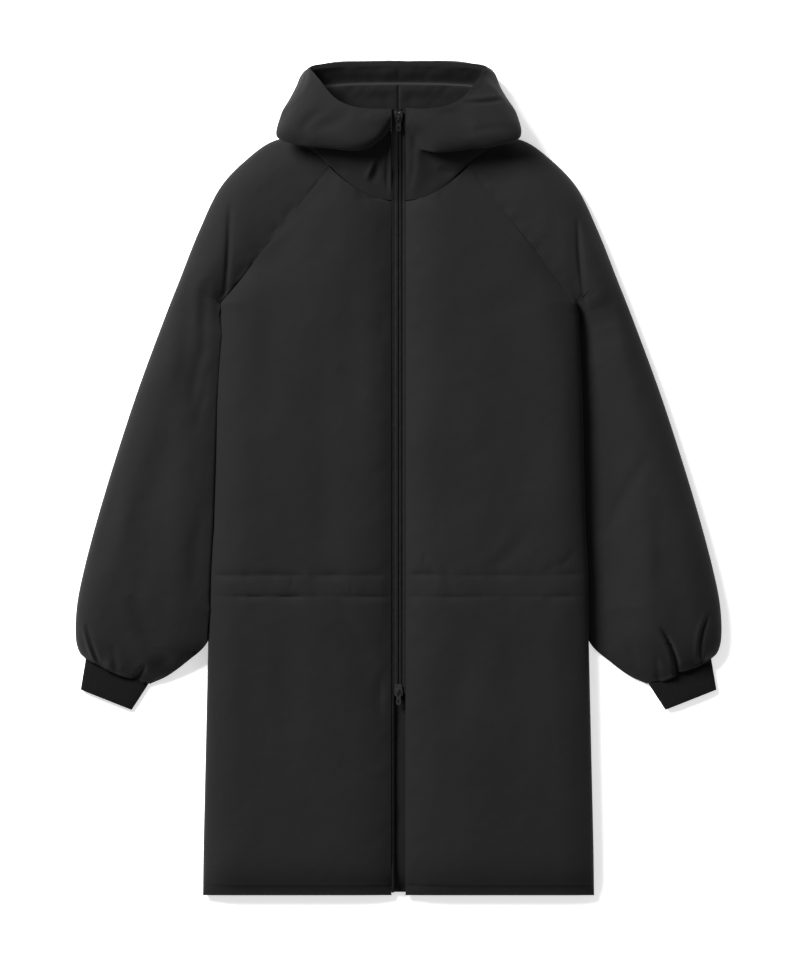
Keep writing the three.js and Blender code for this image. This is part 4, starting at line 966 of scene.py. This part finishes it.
HOOD_FOLDS = [
    {"side": -1, "from": (92, 405), "to": (74, 384), "width": 2.6, "depth": -2.2},
    {"side": -1, "from": (86, 407), "to": (68, 388), "width": 5, "depth": 2.2},
    {"side": -1, "from": (28, 414), "to": (42, 382), "width": 3.2, "depth": -2.6},
    {"side": -1, "from": (22, 416), "to": (34, 376), "width": 4.5, "depth": 2.6},
    {"side": -1, "from": (14, 440), "to": (13, 362), "width": 3.5, "depth": 2.4, "bend": 1},
    {"side": -1, "from": (60, 470), "to": (110, 446), "width": 9, "depth": 2.2, "bend": -5},
    {"side": -1, "from": (96, 470), "to": (126, 440), "width": 6, "depth": 1.8, "bend": 3},
    {"side": 1, "from": (80, 480), "to": (134, 484), "width": 2.4, "depth": 3.0, "bend": -2},
    {"side": 1, "from": (82, 485), "to": (130, 489), "width": 3, "depth": -1.3, "bend": -2},
    {"side": 1, "from": (102, 501), "to": (88, 487), "width": 3.5, "depth": 2.4},
    {"side": 1, "from": (82, 440), "to": (152, 446), "width": 4.5, "depth": 1.2, "bend": 3},
    {"side": 1, "from": (50, 468), "to": (96, 448), "width": 9, "depth": 2.0, "bend": 5},
    {"side": 1, "from": (52, 398), "to": (72, 388), "width": 5, "depth": 1.8},
    {"side": 1, "from": (20, 440), "to": (18, 372), "width": 5, "depth": 1.6},
]
NAPE_SEAM_DEPTH, NAPE_SEAM_WIDTH = 1.4, 1.3
print("hood sections:", len(HOOD_SECTIONS) + len(HOOD_BY_THE_ZIP[LEFT]))

# %% Hood surfaces
def hood_controls(section):
    """Seven points of the outside of the hood, from the neck seam over the fold to the rim."""
    neck, fold, rim = (np.array(section[key], dtype=float) for key in ("neck", "fold", "rim"))
    over, pad = section["over"], section["pad"]
    inward = (neck if pad == 1 else rim) - fold
    inward[2] = 0
    inward /= np.linalg.norm(inward)
    tuck = fold + inward * HOOD_NOSE_OVERHANG * over
    tuck[2] -= mix(0, fold[2] if pad == 1 else min(HOOD_NOSE_DEPTH, fold[2]) * over, over)
    tuck = mix(mix(neck, fold, 0.86), tuck, min(1, 1.6 * over))
    shoulder, crown = mix(fold, rim, 0.16), mix(fold, rim, 0.58)
    shoulder[2] += 9 * over * (1 - 0.55 * pad)
    crown[2] += 7 * (1 - pad)
    return [neck, mix(neck, tuck, 0.5), tuck, fold, shoulder, crown, rim]


def pad_controls(section):
    """Points of the folded crown at the nape: up to a sharp ridge, down behind it, up to the lip."""
    neck, rim = np.array(section["neck"], dtype=float), np.array(section["rim"], dtype=float)
    neck[2], rim[2] = HOOD_PAD_NECK, rim[2] - 1
    inward = neck - rim
    inward[2] = 0
    lip = rim + inward / np.linalg.norm(inward) * HOOD_LIP
    at = lambda share, height: np.append(mix(neck, rim, share)[:2], height)
    up_to_ridge = [at(0.38, mix(HOOD_PAD_NECK, HOOD_PAD_RIDGE, 0.62)), at(0.6, HOOD_PAD_RIDGE - 1)]
    over_ridge = [at(0.655, HOOD_PAD_RIDGE), at(0.675, HOOD_PAD_DIP + 1), at(0.7, HOOD_PAD_DIP - 3)]
    return [neck, *up_to_ridge, *over_ridge, at(0.84, HOOD_PAD_DIP + 7), lip]


def hood_half(side, name, rings=92, columns=190):
    ring_share, column_share = np.linspace(0, 1, rings), np.linspace(0, 1, columns)
    across = lambda curves: smooth_line(np.swapaxes(curves, 0, 1), column_share).swapaxes(0, 1)
    sections = HOOD_BY_THE_ZIP[side] + HOOD_SECTIONS
    controls = np.array([hood_controls(section) for section in sections]).swapaxes(0, 1)
    pads = np.array([pad_controls(section) for section in sections]).swapaxes(0, 1)
    outer = across(smooth_line(controls, ring_share))
    pad = across(smooth_line(pads, ring_share))
    pad_share = np.interp(column_share * (len(sections) - 1), np.arange(len(sections)),
                          [section["pad"] for section in sections])[None, :, None]
    up, round_neck = np.gradient(outer, axis=0), np.gradient(outer, axis=1)
    inward = np.cross(up, round_neck)
    inward[:, [0, -1], 0] = 0
    inward /= np.linalg.norm(inward, axis=-1, keepdims=True)
    inner = mix(outer + inward * HOOD_WALL, pad, pad_share)
    x, y = outer[..., 0], outer[..., 1]
    seam_fade = smooth(column_share * 22)[None, :] * smooth((1 - column_share) * 30)[None, :]
    ring_fade = smooth(ring_share * 9)[:, None] * smooth((1 - ring_share) * 14)[:, None]
    relief = 1.1 * uneven(column_share[None, :] * 300, ring_share[:, None] * 120, 34, 161 + side)
    relief += 0.5 * uneven(column_share[None, :] * 300, ring_share[:, None] * 120, 13, 171 + side)
    facing_up = smooth((-inward[..., 2] + 0.1) * 2)
    relief -= fold_depth(HOOD_FOLDS, side, x, y) * facing_up
    outer = outer - inward * (relief * seam_fade * ring_fade)[..., None]
    nape = 0.9 * uneven(pad[..., 0], pad[..., 1] * 2, 22, 181)
    nape = nape + 0.5 * uneven(pad[..., 0], pad[..., 1], 9, 191)
    inner[..., 2] += nape * pad_share[..., 0] * ring_fade
    below_ridge = smooth((0.43 - ring_share) * 14)[:, None]
    inner[..., 2] -= NAPE_SEAM_DEPTH * bell(inner[..., 0], NAPE_SEAM_WIDTH) * pad_share[..., 0] * below_ridge
    for grid in (outer, inner):
        grid[..., 2] = np.maximum(grid[..., 2], 0)
        grid[..., 0] *= side
    outer_y, inner_y = (np.maximum.accumulate(grid[:, -1, 1]) for grid in (outer, inner))
    seam_rows = np.interp(outer_y, inner_y, ring_share)
    return cloth_wall(name, outer, inner, shell_cloth, last_rows=seam_rows)


hood_left = hood_half(LEFT, "hood_left_cloth")
hood_right = hood_half(RIGHT, "hood_right_cloth")

# %% [markdown]
# ## The zip
#
# The zip is a fine coil set behind its tapes, so from the front only the two tapes show, with a thin
# line between them. Each tape swells where it covers the coil and is sewn down by a row of stitches.
# The right tape goes on down the open vent to the hem.

# %% Zip tapes
TAPE_THICKNESS, TAPE_CENTRE_GAP, TAPE_EDGE_X = 1.6, 0.6, ZIP_OPENING_HALF - SEAM_GAP
LOWER_SLIDER_Y, ZIP_TOP_Y = -275.0, 471.0
VENT_STRIP_INNER_X = 5.6
ZIP_LINE_Y = [-534, -300, 320, 357, 390, 424, 450, 471]
ZIP_LINE_Z = [19, 19.5, 20, 22, 30.5, 46, 60, 69]
COIL_ROLL_X, COIL_PITCH, SELVEDGE = 2.5, 1.5, 0.2
ROLL_OVER_COIL = {LEFT: 0.3, RIGHT: 0.6}
TAPE_GROOVE = {LEFT: 1.7, RIGHT: 0.3}
TAPE_EDGE_LIFT = {LEFT: 0.0, RIGHT: 1.0}
TAPE_LIFT = {LEFT: 0.7, RIGHT: 1.9}


def zip_height(y):
    return np.interp(y, ZIP_LINE_Y, ZIP_LINE_Z)


def tape_strip(side, name, low_y, high_y, inner_x, rows):
    """A tape between two levels, with a roll over the coil and a raised selvedge."""
    y = np.linspace(low_y, high_y, rows)[:, None]
    x = np.linspace(inner_x, TAPE_EDGE_X, 19)[None, :] + 0 * y
    z = zip_height(y) + 0 * x
    over_coil = bell(x - COIL_ROLL_X, 1.3)
    relief = ROLL_OVER_COIL[side] * over_coil + SELVEDGE * bell(x - TAPE_EDGE_X + 1.0, 0.8)
    edge_lift = TAPE_EDGE_LIFT[side] * smooth((x - 4.4) / 4.2)
    relief += TAPE_LIFT[side] + edge_lift - TAPE_GROOVE[side] * bell(x - 5.3, 1.3)
    ripple = 0.22 * uneven(y + 0 * x, x * 0, 9, 201 + side)
    ripple = ripple + 0.06 * np.sin(2 * np.pi * y / COIL_PITCH) * over_coil
    shape = np.stack([side * x, y + 0 * x, z - 0.3 + relief + ripple], axis=-1)
    under = np.stack([side * x, y + 0 * x, z - TAPE_THICKNESS], axis=-1)[:: max(1, rows // 60), ::6]
    under[-1] = np.stack([side * x, y + 0 * x, z - TAPE_THICKNESS], axis=-1)[-1, ::6]
    return cloth_wall(name, shape, under, zip_tape)


def joined(name, pieces):
    """Several meshes of one body as one object."""
    for item in bpy.context.selected_objects:
        item.select_set(False)
    for item in pieces:
        item.select_set(True)
    bpy.context.view_layer.objects.active = pieces[0]
    bpy.ops.object.join()
    pieces[0].name = name
    return pieces[0]


tape_left = tape_strip(LEFT, "tape_left", LOWER_SLIDER_Y, ZIP_TOP_Y, TAPE_CENTRE_GAP, 900)
tape_right = joined("tape_right", [
    tape_strip(RIGHT, "tape_right", LOWER_SLIDER_Y, ZIP_TOP_Y, TAPE_CENTRE_GAP, 900),
    tape_strip(RIGHT, "tape_right_vent", BACK_HEM_Y, LOWER_SLIDER_Y - 0.1, VENT_STRIP_INNER_X, 300),
])

# %% [markdown]
# ## Teeth and stitches
#
# Teeth and stitches are many small things in rows. A row is a line of points, each with its own turn.
# Geometry Nodes put one small shape on every point, realize the copies and give them a material. The
# shape, the material and the spread of sizes are inputs of the group, so a row can be changed by hand.

# %% Node group that repeats one shape on points
def repeat_group():
    group = bpy.data.node_groups.new("repeat_on_points", "GeometryNodeTree")
    face = group.interface
    face.new_socket("Points", in_out="INPUT", socket_type="NodeSocketGeometry")
    face.new_socket("Shape", in_out="INPUT", socket_type="NodeSocketObject")
    face.new_socket("Material", in_out="INPUT", socket_type="NodeSocketMaterial")
    face.new_socket("Least size", in_out="INPUT", socket_type="NodeSocketFloat").default_value = 0.92
    face.new_socket("Largest size", in_out="INPUT", socket_type="NodeSocketFloat").default_value = 1.08
    face.new_socket("Seed", in_out="INPUT", socket_type="NodeSocketInt").default_value = 4
    face.new_socket("Copies", in_out="OUTPUT", socket_type="NodeSocketGeometry")
    source, target = group.nodes.new("NodeGroupInput"), group.nodes.new("NodeGroupOutput")
    shape = group.nodes.new("GeometryNodeObjectInfo")
    turn = group.nodes.new("GeometryNodeInputNamedAttribute")
    turn.data_type = "FLOAT_VECTOR"
    turn.inputs["Name"].default_value = "turn"
    size = group.nodes.new("FunctionNodeRandomValue")
    copies = group.nodes.new("GeometryNodeInstanceOnPoints")
    realize = group.nodes.new("GeometryNodeRealizeInstances")
    paint = group.nodes.new("GeometryNodeSetMaterial")
    link = group.links.new
    link(source.outputs["Points"], copies.inputs["Points"])
    link(source.outputs["Shape"], shape.inputs["Object"])
    link(shape.outputs["Geometry"], copies.inputs["Instance"])
    link(turn.outputs["Attribute"], copies.inputs["Rotation"])
    link(source.outputs["Least size"], size.inputs["Min"])
    link(source.outputs["Largest size"], size.inputs["Max"])
    link(source.outputs["Seed"], size.inputs["Seed"])
    link(size.outputs[1], copies.inputs["Scale"])
    link(copies.outputs["Instances"], realize.inputs["Geometry"])
    link(realize.outputs["Geometry"], paint.inputs["Geometry"])
    link(source.outputs["Material"], paint.inputs["Material"])
    link(paint.outputs["Geometry"], target.inputs["Copies"])
    return group


repeat_on_points = repeat_group()
print("node group inputs:", [item.name for item in repeat_on_points.interface.items_tree])

# %% Rows of small shapes
def repeated(name, points, turns, shape, material, seed):
    """A plain mesh with one copy of a shape on every point. Points are in pattern millimetres."""
    mesh = bpy.data.meshes.new(name)
    placed = (np.asarray(points) + [0, SHIFT_Y, 0]) * MM
    mesh.from_pydata(placed.tolist(), [], [])
    attribute = mesh.attributes.new("turn", "FLOAT_VECTOR", "POINT")
    attribute.data.foreach_set("vector", np.asarray(turns, dtype=float).ravel())
    rows = bpy.data.objects.new(name + "_points", mesh)
    bpy.context.scene.collection.objects.link(rows)
    modifier = rows.modifiers.new("repeat", "NODES")
    modifier.node_group = repeat_on_points
    values = {"Shape": shape, "Material": material, "Seed": seed}
    for item in repeat_on_points.interface.items_tree:
        if item.name in values:
            modifier[item.identifier] = values[item.name]
    bpy.context.view_layer.update()
    made = rows.evaluated_get(bpy.context.evaluated_depsgraph_get())
    plain = bpy.data.meshes.new_from_object(made)
    rows.modifiers.remove(modifier)
    bpy.data.objects.remove(rows)
    if not plain.materials:
        plain.materials.append(material)
    piece = bpy.data.objects.new(name, plain)
    bpy.context.scene.collection.objects.link(piece)
    print("%s: %d copies, %d faces" % (name, len(placed), len(plain.polygons)))
    return piece


def small_shape(name, sections, sides, material):
    """A short bar along Y from a table of sections: place, half width and half height."""
    vertices, faces = [], []
    for place, half_width, half_height in sections:
        for step in range(sides):
            angle = 2 * math.pi * step / sides
            vertices.append((half_width * math.cos(angle), place, half_height * math.sin(angle)))
    for row in range(len(sections) - 1):
        for step in range(sides):
            near, far = row * sides, (row + 1) * sides
            faces.append((near + step, near + (step + 1) % sides, far + (step + 1) % sides, far + step))
    faces.append(tuple(range(sides))[::-1])
    faces.append(tuple(range((len(sections) - 1) * sides, len(sections) * sides)))
    mesh = bpy.data.meshes.new(name)
    mesh.from_pydata((np.array(vertices) * MM).tolist(), [], faces)
    mesh.polygons.foreach_set("use_smooth", [True] * len(mesh.polygons))
    mesh.materials.append(material)
    mesh.update()
    if signed_volume(mesh) < 0:
        mesh.flip_normals()
    return bpy.data.objects.new(name, mesh)


stitch_shape = small_shape("stitch", [
    (-1.30, 0.12, 0.10), (-1.05, 0.26, 0.20), (-0.40, 0.31, 0.26), (0.40, 0.31, 0.26), (1.05, 0.26, 0.20),
    (1.30, 0.12, 0.10)], 8, thread)
tooth_shape = small_shape("tooth", [
    (-0.42, 0.60, 0.30), (-0.30, 0.85, 0.45), (0.30, 0.85, 0.45), (0.42, 0.60, 0.30)], 8, zip_teeth)
print("small shapes made")

# %% Where the rows run
STITCH_PITCH, TAPE_STITCH_X, VENT_STITCH_X = 3.3, 5.9, 7.1


def surface_heights(piece, points):
    """Height of a piece's top at plan points, found by casting rays straight down."""
    bpy.context.view_layer.update()
    depsgraph = bpy.context.evaluated_depsgraph_get()
    shape = piece.evaluated_get(depsgraph)
    heights = []
    for x, y in points:
        hit, place, normal, _ = shape.ray_cast(Vector((x * MM, (y + SHIFT_Y) * MM, 0.3)), Vector((0, 0, -1)))
        heights.append(place.z / MM if hit else np.nan)
    return np.array(heights)


def stitch_row(name, piece, plan, lift, seed):
    """Stitches that follow a line on a piece, each lying along the line and the slope of the cloth."""
    plan = np.asarray(plan, dtype=float)
    length = np.concatenate([[0], np.cumsum(np.linalg.norm(np.diff(plan, axis=0), axis=1))])
    at = np.arange(STITCH_PITCH, length[-1], STITCH_PITCH)
    place = np.stack([np.interp(at, length, plan[:, 0]), np.interp(at, length, plan[:, 1])], -1)
    ahead = np.stack([np.interp(at + 1, length, plan[:, 0]), np.interp(at + 1, length, plan[:, 1])], -1)
    behind = np.stack([np.interp(at - 1, length, plan[:, 0]), np.interp(at - 1, length, plan[:, 1])], -1)
    height, height_ahead, height_behind = (surface_heights(piece, p) for p in (place, ahead, behind))
    run = ahead - behind
    heading = np.arctan2(-run[:, 0], run[:, 1])
    slope = np.arctan2(height_ahead - height_behind, np.linalg.norm(run, axis=1))
    good = np.isfinite(height) & np.isfinite(slope)
    turns = np.stack([slope, 0 * slope, heading], -1)
    points = np.column_stack([place, height + lift])
    return repeated(name, points[good], turns[good], stitch_shape, thread, seed)


def casing_line(side, row_y, number):
    x = np.linspace(ZIP_OPENING_HALF + 2.5, float(side_edge(row_y)) - 6, 160)
    y = row_y + 0.9 * uneven(x, x * 0 + row_y * 0, 46, 31 + number + side)
    return np.stack([side * x, y], -1)


trims = []
for side, front in ((LEFT, front_left), (RIGHT, front_right)):
    for number, row_y in enumerate(CASING_ROWS):
        trims.append(stitch_row("waist_stitches_%d_%d" % (side, number), front,
                                casing_line(side, row_y, number), -0.05, 11 + number))
for side, tape in ((LEFT, tape_left), (RIGHT, tape_right)):
    low = LOWER_SLIDER_Y + 12
    line = [(side * TAPE_STITCH_X, y) for y in (low, 357, 400, ZIP_TOP_Y - 6)]
    trims.append(stitch_row("tape_stitches_%d" % side, tape, line, 0.05, 21))
vent_line = [(-VENT_STITCH_X, BACK_HEM_Y + 4), (-VENT_STITCH_X, LOWER_SLIDER_Y - 12)]
trims.append(stitch_row("vent_stitches", tape_right, vent_line, 0.05, 23))

# %% Coil of the zip
coil_y = np.arange(LOWER_SLIDER_Y + 3, ZIP_TOP_Y - 2, COIL_PITCH)
coil_z = zip_height(coil_y) - TAPE_THICKNESS + 0.75
coil_slope = np.arctan2(zip_height(coil_y + 2) - zip_height(coil_y - 2), 4)
for side in (LEFT, RIGHT):
    shift = COIL_PITCH / 2 if side > 0 else 0
    points = np.stack([0 * coil_y + side * 0.45, coil_y + shift, coil_z], -1)
    turns = np.stack([coil_slope, 0 * coil_y, 0 * coil_y], -1)
    trims.append(repeated("coil_%d" % side, points, turns, tooth_shape, zip_teeth, 31))

# %% [markdown]
# ## Sliders and pulls
#
# The sliders and their pull tabs keep the meshes of the frame, which are already their true shape.
# They get the worn dark metal. A small bevel on each edge catches the light as cast metal does.

# %% Metal parts
SOFT_EDGE, EDGE_DEGREES = 0.12, 35
for node in ("slider_top", "slider_bottom", "pull_top", "pull_bottom"):
    part = bpy.data.objects[node]
    part.data.materials.clear()
    part.data.materials.append(zip_metal)
    bevel = part.modifiers.new("soft edges", "BEVEL")
    bevel.width, bevel.segments, bevel.limit_method = SOFT_EDGE * MM, 2, "ANGLE"
    bevel.angle_limit = math.radians(EDGE_DEGREES)
print("metal on the sliders and pulls")

# %% [markdown]
# ## What stands for what
#
# Every finer piece replaces its solid and rides on its body. The shell panels are padded cloth. The
# cuffs and tapes are thin sheets.

# %% Bodies, slots and cloth
PIECES = [
    (back, ("back",), "shell_cloth"),
    (front_left, ("front_left",), "shell_cloth"),
    (front_right, ("front_right",), "shell_cloth"),
    (sleeve_left, ("sleeve_left",), "shell_cloth"),
    (sleeve_right, ("sleeve_right",), "shell_cloth"),
    (hood_left, ("hood_left",), "shell_cloth"),
    (hood_right, ("hood_right",), "shell_cloth"),
    (cuff_left, ("cuff_left",), "cuff_knit"),
    (cuff_right, ("cuff_right",), "cuff_knit"),
    (tape_left, ("zip_tape_left",), "zip_tape"),
    (tape_right, ("zip_tape_right",), "zip_tape"),
]
for piece, nodes, slot in PIECES:
    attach(piece, "coat")
    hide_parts(*nodes)
for piece in trims:
    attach(piece, "coat")
print("pieces placed:", len(PIECES), "trims:", len(trims))

# %% [markdown]
# ## Camera, light and floor
#
# The camera looks straight down with a long lens, as in a catalogue cut-out. A large soft lamp stands
# to the upper left, with a weak fill from the lower right, over a plain pale floor.

# %% Camera
CAMERA_HEIGHT, SENSOR = 8.0, 36.0
VIEW_HEIGHT, VIEW_CENTRE_Y, LENS_PLANE = 1.2275, -0.0017, 0.03
camera_data = bpy.data.cameras.new("camera")
camera_data.sensor_fit = "VERTICAL"
camera_data.sensor_height = SENSOR
camera_data.lens = SENSOR * (CAMERA_HEIGHT - LENS_PLANE) / VIEW_HEIGHT
camera_data.clip_end = 50
camera = bpy.data.objects.new("camera", camera_data)
camera.location = (0, VIEW_CENTRE_Y, CAMERA_HEIGHT)
bpy.context.scene.collection.objects.link(camera)
bpy.context.scene.camera = camera
print("lens: %.0f mm" % camera_data.lens)

# %% Floor and light
floor_material, _, floor_shader = new_material("floor", Roughness=1.0, Specular_IOR_Level=0.0)
floor_shader.inputs["Base Color"].default_value = (0.93, 0.93, 0.93, 1)
floor_shader.inputs["Emission Color"].default_value = (1, 1, 1, 1)
floor_shader.inputs["Emission Strength"].default_value = 0.5
floor_mesh = bpy.data.meshes.new("floor")
FLOOR_REACH = 4.0
floor_corners = [(x * FLOOR_REACH, y * FLOOR_REACH, 0) for x, y in ((-1, -1), (1, -1), (1, 1), (-1, 1))]
floor_mesh.from_pydata(floor_corners, [], [(0, 1, 2, 3)])
floor_mesh.materials.append(floor_material)
floor = bpy.data.objects.new("floor", floor_mesh)
bpy.context.scene.collection.objects.link(floor)


def area_lamp(name, place, size, power):
    data = bpy.data.lights.new(name, "AREA")
    data.shape, data.size, data.energy = "SQUARE", size, power
    lamp = bpy.data.objects.new(name, data)
    lamp.location = place
    lamp.rotation_euler = (-Vector(place)).to_track_quat("-Z", "Y").to_euler()
    bpy.context.scene.collection.objects.link(lamp)


area_lamp("key", (-2.2, 2.2, 2.5), 1.6, 430)
area_lamp("fill", (2.4, -1.6, 3.2), 3.0, 22)
world = bpy.data.worlds.new("studio")
world.use_nodes = True
world.node_tree.nodes["Background"].inputs["Color"].default_value = (1, 1, 1, 1)
world.node_tree.nodes["Background"].inputs["Strength"].default_value = 0.24
bpy.context.scene.world = world
bpy.context.scene.view_settings.view_transform = "Standard"
print("light and floor set")
